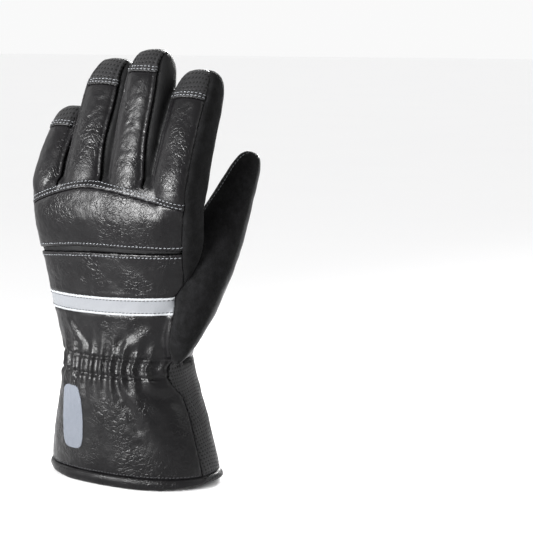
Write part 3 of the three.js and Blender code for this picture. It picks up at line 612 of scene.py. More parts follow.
def split_nail_seams():
    """The nail seams were cut with the sides of the back, but are lapped, not turned."""
    pairs = skin.seams[BACK_SEAM][1]
    middle = skin.points[pairs].mean(axis=1)
    at_nail = np.zeros(len(pairs), bool)
    for name, (_, _, length, width, _, _, nail) in FINGERS.items():
        along = (middle[:, 2] - KNUCKLES) / length
        at, _, deep = finger_frame(name, along)
        top = finger_place(name)(np.full(1, nail))
        level = ((top - middle) * np.cross([1.0, 0, 0], deep)).sum(1)
        at_nail |= (np.abs(level) < NAIL_REACH) & (np.abs(middle[:, 0] - at[:, 0]) < width / 2)
    skin.seams[BACK_SEAM] = ("turned", pairs[~at_nail])
    skin.seams.append(("nail", pairs[at_nail]))
    print("nail seam edges", int(at_nail.sum()))


split_nail_seams()
TREES = {kind: seam_tree([kind]) for kind in ("turned", "piped", "lapped", "slit", "nail", "flat")}

# %% Folds as ridges and valleys
# x and z of both ends, height and width, all in mm: a height below zero is a valley
BACK_FOLDS = [
    (2, 92, 30, 116, -1.1, 4.0), (6, 90, 37, 112, 0.9, 3.5), (-34, 114, -15, 96, 0.9, 3.0),
    (-28, 114, -10, 95, -0.7, 2.6), (11, 77, 30, 42, -1.4, 3.6), (17, 78, 37, 46, 0.9, 3.2),
    (33, 79, 53, 66, 1.2, 3.0), (30, 72, 52, 58, -0.9, 3.2), (-6, 76, -3, 48, 0.6, 3.2),
    (-17, 76, -16, 52, 0.5, 3.0), (24, 92, 43, 101, 0.8, 2.8), (36, 40, 50, 30, 0.6, 5.0),
    (20, 30, 44, 36, -0.6, 6.0), (-30, 20, 10, 16, 0.6, 8.0), (-45, 150, -10, 156, 0.4, 7.0),
    (-20, 142, 30, 150, -0.3, 6.0), (-48, 84, -38, 66, 0.8, 4.0), (44, 88, 52, 79, 0.8, 2.6)]
PALM_FOLDS = [
    (36, 83, -40, 80, -1.3, 5.0), (30, 90, -36, 92, 0.7, 5.0), (24, 62, -18, 54, -1.1, 5.0),
    (40, 66, 14, 58, 0.8, 5.0), (16, 37, -16, 36, -1.3, 5.0), (30, 46, -34, 45, 0.7, 7.0),
    (-20, 72, -42, 60, 0.9, 5.0), (10, 120, -2, 152, 0.8, 7.0), (24, 160, 6, 118, -0.9, 5.0),
    (-26, 190, -38, 204, -1.2, 4.5), (-14, 196, -30, 172, 0.8, 6.0), (28, 196, 44, 186, -1.0, 5.0),
    (12, 206, 14, 182, 0.7, 6.0), (-50, 170, -20, 150, 0.7, 9.0),
    (16, 243, 33, 240, -1.2, 2.4), (15, 221, 36, 219, -0.9, 3.0), (-20, 243, -3, 245, -1.1, 2.4),
    (-24, 221, -4, 219, -0.8, 3.0), (-58, 218, -40, 220, -1.1, 2.6), (50, 250, 68, 256, -1.2, 2.6),
    (50, 221, 70, 218, -0.9, 3.2), (-60, 198, -46, 206, -0.7, 3.0)]
# the pleats at the wrist: x, height, lean, length up and down
PLEATS = [(-41, .8, .35, 12, 16), (-34, 1.0, .25, 16, 14), (-26, 1.1, .12, 18, 18),
          (-17.5, 1.0, .05, 14, 24), (-9, 1.1, .02, 16, 26), (-1, 1.0, -.04, 20, 24),
          (7.5, 1.1, -.12, 18, 26), (16, 1.1, -.2, 20, 20), (24, 1.0, -.3, 18, 18),
          (32.5, 1.1, -.4, 14, 16), (41, .9, -.45, 12, 12)]
ELASTIC = (91, 79)  # heights of the two rows of elastic, in mm


def ridges(points, rows):
    """The summed height of straight folds that fade out at their ends."""
    x, z = points[:, 0], points[:, 2]
    height = np.zeros(len(points))
    for x1, z1, x2, z2, tall, width in rows:
        way = np.array([x2 - x1, z2 - z1], float)
        share = ((x - x1) * way[0] + (z - z1) * way[1]) / (way @ way)
        inside = np.clip(share, 0, 1)
        off = np.hypot(x - x1 - inside * way[0], z - z1 - inside * way[1])
        height += tall * np.exp(-(off / width) ** 2) * (1 - 0.45 * np.abs(2 * inside - 1))
    return height


def pleats(points):
    """The gathers on the back: a row of ridges, pinched where the two elastics run."""
    x, z = points[:, 0], points[:, 2]
    rise = z - sum(ELASTIC) / 2
    height = np.zeros(len(points))
    for place, tall, lean, over, under in PLEATS:
        reach = np.where(rise > 0, over, under)
        width = 1.9 + 0.09 * np.abs(rise)
        bent = x - place - np.where(rise < 0, lean, -lean) * rise * 0.8
        height += tall * np.exp(-np.abs(bent / width) ** 1.5) * np.exp(-(rise / reach) ** 2)
    near = np.exp(-(rise / 18) ** 2)
    height = (height - 0.45 * near) * 2.6
    for level in ELASTIC:
        height -= 1.3 * np.exp(-((z - level) / 1.2) ** 2) * near
    return height


def waves(points, size, seed):
    """Smooth noise with waves of about this size in mm."""
    offset = Vector((seed * 7.1, seed * 3.3, seed * 5.7))
    return np.array([noise.noise(Vector(p) / size + offset) for p in points])


# %% Height of a panel over the smooth form
OVER = {"lapped": "finger_back_leather", "nail": "palm_perforated"}
# puff in mm in the middle, and the seams it lies between
PUFFED = {"knuckle_leather": (1.7, "lapped", "slit"), "hand_back_leather": (0.8, "slit", "flat")}
LEATHER_FACES = ("finger_back_leather", "knuckle_leather", "hand_back_leather", "cuff_back_leather")
TURNED_DIP, SIDEWALL_DIP, GUSSET_DIP = 1.15, 1.7, 1.7  # mm below the smooth form
PIPE_HEIGHT, LAP_HEIGHT, SLIT_HEIGHT = 0.6, 0.5, 0.35  # mm over it
PALM_FOLD_SCALE = 1.5


def bump(gap, place, width):
    return np.exp(-((gap - place) / width) ** 2)


def from_tips(points):
    """1 along the fingers, falling off on the fingertips, where the seams lie flat."""
    ends = [finger_place(name) for name in FINGERS] + [thumb_place]
    tips = np.array([end(np.ones(1))[0] for end in ends])
    nearest = np.linalg.norm(points[:, None, :] - tips[None], axis=2).min(axis=1)
    return np.clip((nearest - 8) / 10, 0.15, 1)


def relief(name, points, normals):
    """How far each point of a panel stands over the smooth form, in mm, and its distance to a seam."""
    gap = {kind: distance(tree, points) for kind, tree in TREES.items()}
    flat_tips = from_tips(points)
    height = -TURNED_DIP * np.exp(-(gap["turned"] / 1.5) ** 1.3) * (0.1 + 0.9 * flat_tips)
    if name.startswith("fourchette"):
        height += (0.25 - SIDEWALL_DIP * np.exp(-(gap["piped"] / 2.2) ** 1.3)) * flat_tips
    else:
        piped = PIPE_HEIGHT * bump(gap["piped"], 1.4, 0.8) - 0.9 * bump(gap["piped"], 0, 0.5)
        height += (piped - 0.3 * bump(gap["piped"], 3.3, 0.8)) * flat_tips
    for kind, over in OVER.items():
        if name == over:
            height += LAP_HEIGHT * bump(gap[kind], 0, 5.0) - 0.3 * bump(gap[kind], 0, 0.45)
        else:
            height -= LAP_HEIGHT * bump(gap[kind], 0, 1.2)
    if name == "flex_gusset":
        height -= GUSSET_DIP * np.clip((-normals[:, 1] - 0.1) / 0.5, 0.1, 1)
    else:
        height += SLIT_HEIGHT * (bump(gap["slit"], 0, 4.0) - bump(gap["slit"], 0, 0.5))
    if name in PUFFED:
        puff, *kinds = PUFFED[name]
        ends = [gap[kind] for kind in kinds]
        share = ends[0] / (ends[0] + ends[1] + 1e-6)
        height += puff * 4 * share * (1 - share) * np.clip(gap["turned"] / 14, 0, 1)
    front = np.clip((-normals[:, 1] + 0.15) / 0.5, 0, 1)
    behind = np.clip((normals[:, 1] + 0.15) / 0.5, 0, 1)
    if name in ("hand_back_leather", "cuff_back_leather"):
        height += (pleats(points) + ridges(points, BACK_FOLDS)) * front
        off = np.abs(over_line(TAPE_ROWS)(points))
        height += 0.35 * bump(off, TAPE_WIDTH / 2 + 2, 2.0) - 0.2 * (off < TAPE_WIDTH / 2)
    if name == "palm_perforated":
        height += PALM_FOLD_SCALE * ridges(points, PALM_FOLDS) * behind
    height += 0.35 * waves(points, 17, 1) + 0.18 * waves(points, 7, 2)
    if name in LEATHER_FACES:
        height += 0.14 * waves(points, 3.2, 3)
    if name == "thumb_outer_leather":
        height += 0.45 * waves(points, 9, 4)
    nearest = np.min([gap[kind] for kind in gap if kind != "flat"], axis=0)
    return height, nearest


# %% Make a panel
def new_piece(name, points, faces):
    """A mesh object from points in mm in the hand form's own place."""
    mesh = bpy.data.meshes.new(name)
    mesh.from_pydata(((points + SHIFT) * MM).tolist(), [], faces)
    mesh.update()
    piece = bpy.data.objects.new(name, mesh)
    bpy.context.scene.collection.objects.link(piece)
    mesh.shade_smooth()
    return piece


def thicken(piece, wall):
    """Gives a sheet its wall, inwards, as leather with its lining has."""
    bpy.ops.object.select_all(action="DESELECT")
    piece.select_set(True)
    bpy.context.view_layer.objects.active = piece
    solid = piece.modifiers.new("leather wall", "SOLIDIFY")
    solid.thickness = wall * MM
    solid.offset = -1
    bpy.ops.object.modifier_apply(modifier=solid.name)


def write_attribute(piece, name, values):
    layer = piece.data.attributes.new(name, "FLOAT", "POINT")
    layer.data.foreach_set("value", np.asarray(values, np.float32))


def write_uv(piece, uv):
    layer = piece.data.uv_layers.new(name="UVMap")
    corners = np.empty(len(piece.data.loops), int)
    piece.data.loops.foreach_get("vertex_index", corners)
    layer.data.foreach_set("uv", uv[corners].astype(np.float32).ravel())


WALL = 1.8  # mm of leather with its lining
surface = {}  # each panel's points, moved points, normals and triangles


def panel_arrays(source, number):
    """The points, normals and triangles of one panel, counted from nought."""
    own = source.tris[source.panel == number]
    used, tris = np.unique(own, return_inverse=True)
    return source.points[used], unit(source.normals[used]), tris.reshape(-1, 3)


def make_panel(name, source=skin, like=None, lift=0.0, wall=WALL, uv=None):
    """One panel with its relief and its wall. A trim takes the relief of the leather it lies on."""
    points, normals, tris = panel_arrays(source, NUMBER[name])
    height, gap = relief(like or name, points, normals)
    moved = points + normals * (height + lift)[:, None]
    surface[name] = (points, moved, normals, tris)
    piece = new_piece(name, moved, tris.tolist())
    write_attribute(piece, "seam_mm", gap)
    if name == "reflective_strip":
        write_attribute(piece, "edge_mm", tape_rule(points))
    if uv is not None:
        write_uv(piece, uv(points))
    thicken(piece, wall)
    print(f"{name:26s} faces {len(piece.data.polygons):6d}  "
          f"relief {height.min():.1f} to {height.max():.1f} mm")
    return piece


# %% [markdown]
# ## Where the perforations run
# The palm leather is pierced in straight rows while it is still flat, and the rows bend only when it is
# sewn and stretched. So the holes need flat coordinates of their own: across the hand as the length of the
# curve round it, and up the hand along it and over each fingertip. They are written as a UV map.

# %% Flat coordinates of the palm leather
TIP_SHARE = 0.8  # where the leather starts to turn over a fingertip
UV_SCALE = 100.0  # mm to one unit of the map
ARC_STEPS = 48
ROOT_BELOW, ROOT_BLEND = 6, 16  # mm below the knuckles, and mm over which a finger takes over


def arc_round(across, deep, half_width, half_depth, boxy):
    """Length of the curve from the middle of the palm to a point, round a rounded box."""
    angle = np.arctan2(np.abs(across) ** (boxy / 2), np.sign(deep) * np.abs(deep) ** (boxy / 2))
    steps = np.linspace(0, np.pi, ARC_STEPS + 1)
    px = rounded(np.sin(steps)[None], boxy[:, None]) * half_width[:, None]
    py = rounded(np.cos(steps)[None], boxy[:, None]) * half_depth[:, None]
    run = np.cumsum(np.hypot(np.diff(px), np.diff(py)), axis=1)
    run = np.hstack([np.zeros((len(run), 1)), run])
    place = angle / np.pi * ARC_STEPS
    low = np.clip(place.astype(int), 0, ARC_STEPS - 1)
    row = np.arange(len(run))
    return np.sign(across) * mix(run[row, low], run[row, low + 1], place - low)


def palm_uv(points):
    """Round and up the hand, and on a finger up to its tip and down its back."""
    z = points[:, 2]
    left, right, y, deep, boxy = section(np.minimum(z, KNUCKLES))
    middle, half = (left + right) / 2, (right - left) / 2
    u = middle + arc_round((points[:, 0] - middle) / half, (points[:, 1] - y) / deep, half, deep, boxy)
    v = z.copy()
    for name, (_, _, length, width, depth, _, _) in FINGERS.items():
        along = (z - KNUCKLES) / length
        at, _, deep_way = finger_frame(name, along)
        mine = (np.abs(points[:, 0] - at[:, 0]) < width / 2) & (z > KNUCKLES - ROOT_BELOW)
        share = np.clip((z - KNUCKLES + ROOT_BELOW) / ROOT_BLEND, 0, 1)
        u = np.where(mine, mix(u, points[:, 0], share), u)
        back = ((points - at) * deep_way).sum(1)
        start = KNUCKLES + TIP_SHARE * length
        turn = np.arctan2(np.maximum(0, z - start), back)
        over = start + depth / 2 * turn
        down = start + depth / 2 * np.pi + start - z
        v = np.where(mine & (z > start), over, v)
        v = np.where(mine & (z <= start) & (back < 0) & (z > start - 0.25 * length), down, v)
    return np.stack([u, v], 1) / UV_SCALE


def thumb_uv(points):
    """The thumb's pad faces half to the palm and half to the hand, so it is laid flat from there."""
    along = points[:, 2] + 0.3 * (points[:, 0] - points[:, 1])
    return np.stack([(points[:, 0] + points[:, 1]) * math.sqrt(0.5), along], 1) / UV_SCALE


# %% Make all the panels
UVS = {"palm_perforated": palm_uv, "thumb_pad_perforated": thumb_uv}
panels = {name: make_panel(name, uv=UVS.get(name)) for name in PANELS[2:]}

# %% [markdown]
# ## The reflective tape and the plain patch
# Both lie on the back leather and follow it, so both are cut from the same skin by a rule of their own and
# lifted over the leather. The tape is a band between the side seams. The patch is a plain rounded tab of
# thin silver-grey film on the cuff.

# %% Cut the tape and the patch
PATCH_MIDDLE, PATCH_HALF = (-27.5, 46.5), (10.5, 22.5)


def tape_rule(points):
    return TAPE_WIDTH / 2 - np.abs(over_line(TAPE_ROWS)(points))


def patch_rule(points):
    x = np.abs(points[:, 0] - PATCH_MIDDLE[0]) / PATCH_HALF[0]
    z = np.abs(points[:, 2] - PATCH_MIDDLE[1]) / PATCH_HALF[1]
    return (1 - (x**4 + z**4) ** 0.25) * PATCH_HALF[0] + np.where(points[:, 1] > 0, -50.0, 0.0)


def copy_skin(names):
    """A copy of some panels as one, named hand, to cut trims from."""
    other = Skin.__new__(Skin)
    mine = np.isin(skin.panel, [NUMBER[name] for name in names])
    other.points, other.normals = skin.points.copy(), skin.normals.copy()
    other.tris, other.panel = skin.tris[mine], np.full(mine.sum(), NUMBER["hand"])
    other.pinned, other.seams = skin.pinned.copy(), []
    return other


# name: rule, mm over the leather, mm thick
TRIMS = {"reflective_strip": (tape_rule, 0.75, 0.75), "plain_patch": (patch_rule, 0.3, 0.35)}
trims = {}
for name, (rule, lift, wall) in TRIMS.items():
    PANELS.append(name)
    NUMBER[name] = len(PANELS) - 1
    copied = copy_skin(["hand_back_leather", "cuff_back_leather"])
    cut(copied, "hand", name, rule)
    trims[name] = make_panel(name, copied, "cuff_back_leather", lift, wall)

# %% [markdown]
# ## The rolled hem
# The cuff's lower edge is turned up and stitched, which leaves a soft roll that the glove stands on. It is
# one section, rounded outside and underneath, swept round the cuff in a back half and a palm half. The
# underside lifts a little at both ends, as on the real glove.

# %% Sweep the hem
# mm out from the smooth form, and mm up
HEM_SECTION = [(0.1, 8.4), (0.9, 7.2), (1.45, 5.0), (1.5, 2.8), (1.0, 1.0), (0.1, 0.15), (-1.1, 0.0),
               (-2.2, 0.5), (-2.8, 2.0), (-2.9, 5.0), (-2.6, 8.2), (-1.2, 8.8)]
HEM_TOP = HEM_SECTION[-1][1]
HEM_LIFT, HEM_FLAT, HEM_RISE = 4, 26, 40  # mm up at the ends, mm of x that stay flat, mm of x to rise


def hem_place(start, end):
    """Sweeps the section round the cuff from one angle to another."""
    loop = np.array(HEM_SECTION + HEM_SECTION[:1])

    def place(u, v):
        k = u * (len(loop) - 1)
        low = np.clip(k.astype(int), 0, len(loop) - 2)
        ahead = np.clip(k - low, 0, 1)[:, None]
        offset, z = mix(loop[low], loop[low + 1], ahead).T
        angle = mix(start, end, v)
        left, right, y, deep, boxy = section(z)
        across, back = rounded(np.cos(angle), boxy), rounded(np.sin(angle), boxy)
        wavy = 0.25 * np.sin(angle * 13) * np.sin(angle * 5 + 1)
        x = (left + right) / 2 + across * ((right - left) / 2 + offset + wavy)
        lift = HEM_LIFT * np.clip((np.abs(x) - HEM_FLAT) / HEM_RISE, 0, 1) ** 2
        z = lift + z * (HEM_TOP - lift) / HEM_TOP
        return np.stack([x, y + back * (deep + offset + wavy), z], 1)
    return place


def seam_angle(share):
    """The angle round the hem where a side seam meets it."""
    return np.arcsin(np.abs(share) ** (BOXY_ROWS[0][1] / 2)) * np.sign(share)


LITTLE_END, THUMB_END = np.pi - seam_angle(CUFF_SEAM_ROWS[0][1]), seam_angle(CUFF_SEAM_ROWS[0][2])
HEM_GAP = 0.004  # radians that each half stops short at a seam
HALVES = {"hem_palm": (THUMB_END, LITTLE_END), "hem_back": (LITTLE_END, 2 * np.pi + THUMB_END)}
hems = {}
for name, (start, end) in HALVES.items():
    hem = hems[name] = roll_tube(name, 36, 200, hem_place(start + HEM_GAP, end - HEM_GAP))
    hem.data.shade_smooth()
    points = vectors(hem.data.vertices, "co") / MM - SHIFT
    for layer in list(hem.data.uv_layers):
        hem.data.uv_layers.remove(layer)
    write_uv(hem, palm_uv(points))
    write_attribute(hem, "seam_mm", np.full(len(points), 5.0))
    print(name, "vertices", len(points), "lowest", round(points[:, 2].min(), 2), "mm")

# %% [markdown]
# ## Stitches
# The seams on the back carry pale lockstitch, which lies in short slanted beads and not in a drawn line. A
# curve with a bevel would look like wire. So one bead is modelled, and copies of it are laid at an even pitch
# along lines that run beside the seams. Each line is found on the finished leather, where a rule has a
# fixed value, so the beads sit on every fold.

# %% Model one bead
def model_bead(length=2.2, radius=0.34):
    """The points and faces of one bead of thread, along x, in mm."""
    bpy.ops.object.select_all(action="DESELECT")
    bpy.ops.mesh.primitive_uv_sphere_add(segments=8, ring_count=6, radius=radius)
    bead = bpy.context.object
    bpy.ops.object.mode_set(mode="EDIT")
    bpy.ops.mesh.select_all(action="SELECT")
    bpy.ops.transform.resize(value=(length / (2 * radius), 1.0, 0.85))
    bpy.ops.object.mode_set(mode="OBJECT")
    points = vectors(bead.data.vertices, "co")
    faces = [list(f.vertices) for f in bead.data.polygons]
    bpy.data.objects.remove(bead)
    return points, faces


BEAD = model_bead()
SLANT, SLANT_SPREAD = 0.14, 0.05  # radians off the line
BEAD_LIFT, LIFT_SPREAD = 0.08, 0.03  # mm
SHORTEST = 8.0  # mm: a shorter line gets no stitches
HALF_WAY, SHORTEST_WAY = 0.8, 0.2  # mm to both sides, where the line's direction is taken
rng = np.random.default_rng(7)


# %% Find a line on the leather and lay beads along it
def isolines(name, rule, level):
    """The lines on a finished panel where rule(points) equals level: points and normals, in order."""
    base, moved, normals, tris = surface[name]
    value = rule(base) - level
    value[value == 0] = NEARLY_NOUGHT
    mixed = (value[tris] > 0).any(axis=1) & (value[tris] < 0).any(axis=1)
    links = defaultdict(list)
    for tri in tris[mixed].tolist():
        edges = [(tri[k], tri[k - 1]) for k in range(3)]
        keys = [tuple(sorted(edge)) for edge in edges if value[edge[0]] * value[edge[1]] < 0]
        links[keys[0]].append(keys[1])
        links[keys[1]].append(keys[0])
    lines, seen = [], set()
    for start in sorted(links, key=lambda key: len(links[key])):
        if start in seen:
            continue
        line, here = [start], start
        seen.add(start)
        while True:
            ahead = [key for key in links[here] if key not in seen]
            if not ahead:
                break
            here = ahead[0]
            seen.add(here)
            line.append(here)
        i, j = np.array(line).T
        t = (value[i] / (value[i] - value[j]))[:, None]
        lines.append((mix(moved[i], moved[j], t), unit(mix(normals[i], normals[j], t))))
    return lines


def sample(values, run, places):
    """Values of a line at some lengths along it."""
    return np.stack([np.interp(places, run, values[:, k]) for k in range(3)], 1)


def lay_beads(lines, pitch, keep):
    """Beads at an even pitch along lines: their points and faces in one mesh."""
    points, faces = [], []
    for line, normals in lines:
        step = np.linalg.norm(np.diff(line, axis=0), axis=1)
        run = np.concatenate([[0], np.cumsum(step)])
        if run[-1] < SHORTEST:
            continue
        places = np.arange(pitch / 2, run[-1], pitch)
        at, normal = sample(line, run, places), unit(sample(normals, run, places))
        way = sample(line, run, places + HALF_WAY) - sample(line, run, places - HALF_WAY)
        good = (np.linalg.norm(way, axis=1) > SHORTEST_WAY) & keep(at)
        way = unit(way)
        side = unit(np.cross(normal, way))
        for a, w, s, n, ok in zip(at, way, side, normal, good):
            if not ok:
                continue
            turn = SLANT + rng.normal(0, SLANT_SPREAD)
            along = w * math.cos(turn) + s * math.sin(turn)
            across = s * math.cos(turn) - w * math.sin(turn)
            lift = n * (BEAD_LIFT + rng.normal(0, LIFT_SPREAD))
            base = len(points) * len(BEAD[0])
            points.append(a + lift + BEAD[0] @ np.stack([along, across, n]))
            faces += [[v + base for v in face] for face in BEAD[1]]
    return points, faces


def stitch(name, jobs):
    """One piece of all the beads that the jobs lay, each job a panel, a rule, levels and limits."""
    points, faces = [], []
    for panel, rule, levels, pitch, keep in jobs:
        for level in levels:
            more, new = lay_beads(isolines(panel, rule, level), pitch, keep)
            base = len(points) * len(BEAD[0])
            points += more
            faces += [[v + base for v in face] for face in new]
    piece = new_piece(name, np.vstack(points), faces)
    print(f"{name:26s} beads {len(points)}")
    return piece


def nail_gap(points):
    return distance(TREES["nail"], points)


def over_hem(points):
    return points[:, 2] - HEM_HEIGHT


def anywhere(points):
    return np.ones(len(points), bool)


def on_back(points):
    return points[:, 1] < BACK_FRONT


def high_on_thumb(points):
    return points[:, 2] > THUMB_STITCH_FOOT


BACK_FRONT, THUMB_STITCH_FOOT = -10, 168  # y and z in mm
BACK_PITCH, HEM_PITCH, THUMB_PITCH = 2.9, 2.6, 2.7  # mm from bead to bead
# each job: panel, rule, the rule's values that get a line, pitch, and where beads are kept
slit_top, slit_foot = over_line(SLIT_ROWS, 1), over_line(SLIT_ROWS, 0)
back_stitches = stitch("stitches_back", [
    ("finger_back_leather", over_line(KNUCKLE_SEAM_ROWS), (1.8, 4.2), BACK_PITCH, anywhere),
    ("palm_perforated", nail_gap, (1.7, 3.9), BACK_PITCH, on_back),
    ("knuckle_leather", slit_top, (2.2,), BACK_PITCH, anywhere),
    ("hand_back_leather", slit_foot, (-2.2,), BACK_PITCH, anywhere)])
hem_stitches = stitch("stitches_hem", [
    (name, over_hem, (2.2,), HEM_PITCH, anywhere) for name in ("cuff_back_leather", "palm_perforated")])
tape_stitches = stitch("stitches_tape", [("reflective_strip", tape_rule, (1.7,), BACK_PITCH, anywhere)])
thumb_stitches = stitch("stitches_thumb", [
    ("thumb_back_suede", thumb_wedge(1, 2), (-4.2,), THUMB_PITCH, high_on_thumb)])

# %% [markdown]
# ## Leather, suede and tape
# The glove is nearly black all over, so its materials differ by how they take the light. The back is a
# glossy grain leather that is crumpled, the palm a satin leather with holes, the thumb's back and the side
# strips a matte suede. Every finish is built from noise on Object coordinates, in metres, so that its grain
# has a real size, and the wear along the seams reads the distance that each panel keeps.

# %% Helpers for materials
class Finish:
    """A Principled material with a few short ways to add nodes."""

    def __init__(self, name, **values):
        self.material = bpy.data.materials.new(name)
        self.material.use_nodes = True
        self.tree = self.material.node_tree
        self.shader = self.tree.nodes["Principled BSDF"]
        self.place = self.tree.nodes.new("ShaderNodeTexCoord").outputs["Object"]
        for socket, value in values.items():
            self.shader.inputs[socket.replace("_", " ")].default_value = value

    def node(self, kind, inputs=(), **settings):
        node = self.tree.nodes.new("ShaderNode" + kind)
        for key, value in settings.items():
            setattr(node, key, value)
        for key, value in dict(inputs).items():
            if isinstance(value, bpy.types.NodeSocket):
                self.tree.links.new(value, node.inputs[key])
            else:
                node.inputs[key].default_value = value
        return node

    def noise(self, scale, detail=3.0, rough=0.55, distortion=0.0):
        return self.node("TexNoise", {"Vector": self.place, "Scale": scale, "Detail": detail,
                                      "Roughness": rough, "Distortion": distortion}).outputs["Fac"]

    def cells(self, scale):
        return self.node("TexVoronoi", {"Vector": self.place, "Scale": scale}).outputs["Distance"]

    def math(self, operation, a, b):
        return self.node("Math", {0: a, 1: b}, operation=operation).outputs[0]

    def vector(self, operation, *inputs, output=0):
        return self.node("VectorMath", enumerate(inputs), operation=operation).outputs[output]

    def scaled(self, vector, scale):
        return self.node("VectorMath", {0: vector, 3: scale}, operation="SCALE").outputs[0]

    def spread(self, value, low, high, to_low, to_high):
        return self.node("MapRange", {"Value": value, "From Min": low, "From Max": high, "To Min": to_low,
                                      "To Max": to_high}, interpolation_type="SMOOTHSTEP").outputs[0]

    def mottled(self, scale, detail, to_low, to_high):
        """Noise that wanders between two values, for a roughness."""
        return self.spread(self.noise(scale, detail), 0.3, 0.7, to_low, to_high)

    def blend(self, share, a, b):
        node = self.node("Mix", {0: share}, data_type="RGBA")
        for key, value in ((6, a), (7, b)):
            if isinstance(value, bpy.types.NodeSocket):
                self.tree.links.new(value, node.inputs[key])
            else:
                node.inputs[key].default_value = (*value, 1)
        return node.outputs[2]

    def bump(self, height, depth, before=None):
        inputs = {"Height": height, "Strength": 1.0, "Distance": depth}
        if before is not None:
            inputs["Normal"] = before
        return self.node("Bump", inputs).outputs[0]

    def attribute(self, name):
        return self.node("Attribute", attribute_name=name).outputs["Fac"]

    def made(self, colour, rough, normal=None):
        """Links the finish to the shader and hands over the material."""
        for socket, value in (("Base Color", colour), ("Roughness", rough), ("Normal", normal)):
            if value is not None:
                self.tree.links.new(value, self.shader.inputs[socket])
        return self.material


# %% Glossy back leather
def back_leather():
    f = Finish("back_leather", Specular_IOR_Level=0.14)
    warp = f.node("TexNoise", {"Vector": f.place, "Scale": 90.0, "Detail": 2.0}).outputs["Color"]
    bent = f.vector("ADD", f.place, f.scaled(warp, 0.012))
    crease = f.node("TexVoronoi", {"Vector": bent, "Scale": 300.0}, feature="DISTANCE_TO_EDGE")
    lines = f.spread(crease.outputs["Distance"], 0.0, 0.16, 0.0, 1.0)
    creased = f.spread(f.noise(38.0), 0.46, 0.62, 0.15, 1.0)
    crumple = f.noise(75.0, 5.0, 0.62, distortion=0.8)
    worn = f.spread(f.attribute("seam_mm"), 0.6, 3.2, 0.35, 0.0)
    shade = f.math("ADD", f.math("MULTIPLY", f.noise(26.0), 0.8), worn)
    colour = f.blend(shade, (0.0012, 0.0011, 0.0013), (0.0045, 0.0042, 0.0047))
    normal = f.bump(f.math("MULTIPLY", lines, creased), 0.00013)
    normal = f.bump(crumple, 0.0006, normal)
    normal = f.bump(f.cells(1500.0), 0.00003, normal)
    return f.made(colour, f.mottled(60.0, 4.0, 0.27, 0.4), normal)


# %% Satin leather
def smooth_leather():
    f = Finish("smooth_leather", Specular_IOR_Level=0.3)
    colour = f.blend(f.noise(30.0), (0.014, 0.014, 0.0145), (0.024, 0.0238, 0.0248))
    normal = f.bump(f.noise(45.0, distortion=0.6), 0.0014)
    normal = f.bump(f.cells(1700.0), 0.00006, normal)
    return f.made(colour, f.mottled(70.0, 3.0, 0.36, 0.5), normal)


# %% Perforated leather
HOLE_PITCH, HOLE_RADIUS = 2.6, 0.235  # mm, and share of the pitch


def perforated_leather():
    f = Finish("perforated_leather", Specular_IOR_Level=0.15)
    uv = f.node("UVMap", uv_map="UVMap").outputs[0]
    flow = f.node("TexNoise", {"Vector": uv, "Scale": 2.1, "Detail": 1.0}).outputs["Color"]
    pull = f.scaled(f.vector("ADD", flow, (-0.5, -0.5, 0.0)), 0.16)
    rows = UV_SCALE / HOLE_PITCH
    cell = f.vector("FRACTION", f.vector("MULTIPLY", f.vector("ADD", uv, pull), (rows, rows, 0.0)))
    gap = f.vector("LENGTH", f.vector("SUBTRACT", cell, (0.5, 0.5, 0.0)), output="Value")
    hole = f.spread(gap, HOLE_RADIUS - 0.05, HOLE_RADIUS + 0.05, 1.0, 0.0)
    dip = f.spread(gap, HOLE_RADIUS - 0.03, HOLE_RADIUS + 0.14, 0.0, 1.0)
    base = f.blend(f.noise(34.0), (0.007, 0.007, 0.0073), (0.014, 0.0138, 0.0145))
    colour = f.blend(hole, base, (0.0015, 0.0015, 0.0015))
    normal = f.bump(f.noise(120.0, distortion=0.5), 0.0002)
    normal = f.bump(f.cells(1600.0), 0.00004, normal)
    normal = f.bump(dip, 0.00016, normal)
    rough = f.math("ADD", f.mottled(80.0, 3.0, 0.40, 0.52), f.math("MULTIPLY", hole, 0.4))
    return f.made(colour, rough, normal)


# %% Suede, sidewall cloth, tape, thread and film
def suede():
    f = Finish("suede", Specular_IOR_Level=0.08, Sheen_Weight=0.012, Sheen_Roughness=0.6)
    nap = f.noise(900.0, 4.0, 0.7)
    colour = f.blend(f.spread(f.noise(160.0, 5.0, 0.75), 0.35, 0.75, 0.0, 1.0), (0.0008, 0.0008, 0.0009),
                     (0.005, 0.005, 0.0055))
    return f.made(colour, f.spread(nap, 0.3, 0.7, 0.75, 0.95), f.bump(nap, 0.0003))


def reflective_tape():
    f = Finish("reflective_tape", Specular_IOR_Level=0.2)
    edge = f.spread(f.attribute("edge_mm"), 1.1, 1.5, 1.0, 0.0)
    face = f.blend(f.noise(22.0, 2.0), (0.104, 0.108, 0.116), (0.125, 0.13, 0.138))
    colour = f.blend(edge, face, (0.21, 0.217, 0.225))
    return f.made(colour, f.mottled(120.0, 2.0, 0.38, 0.5), f.bump(f.cells(2600.0), 0.00008))


def cloth(name, specular, dark, pale, blotch, weave, depth, rough):
    """Blotches between two colours, a fine weave and a wandering roughness."""
    f = Finish(name, Specular_IOR_Level=specular)
    colour = f.blend(f.noise(*blotch), dark, pale)
    return f.made(colour, f.mottled(*rough), f.bump(f.noise(*weave), depth))


def thread(name, dark, pale):
    return cloth(name, 0.3, dark, pale, (900.0, 2.0), (3000.0, 2.0), 0.0001, (500.0, 2.0, 0.7, 0.85))


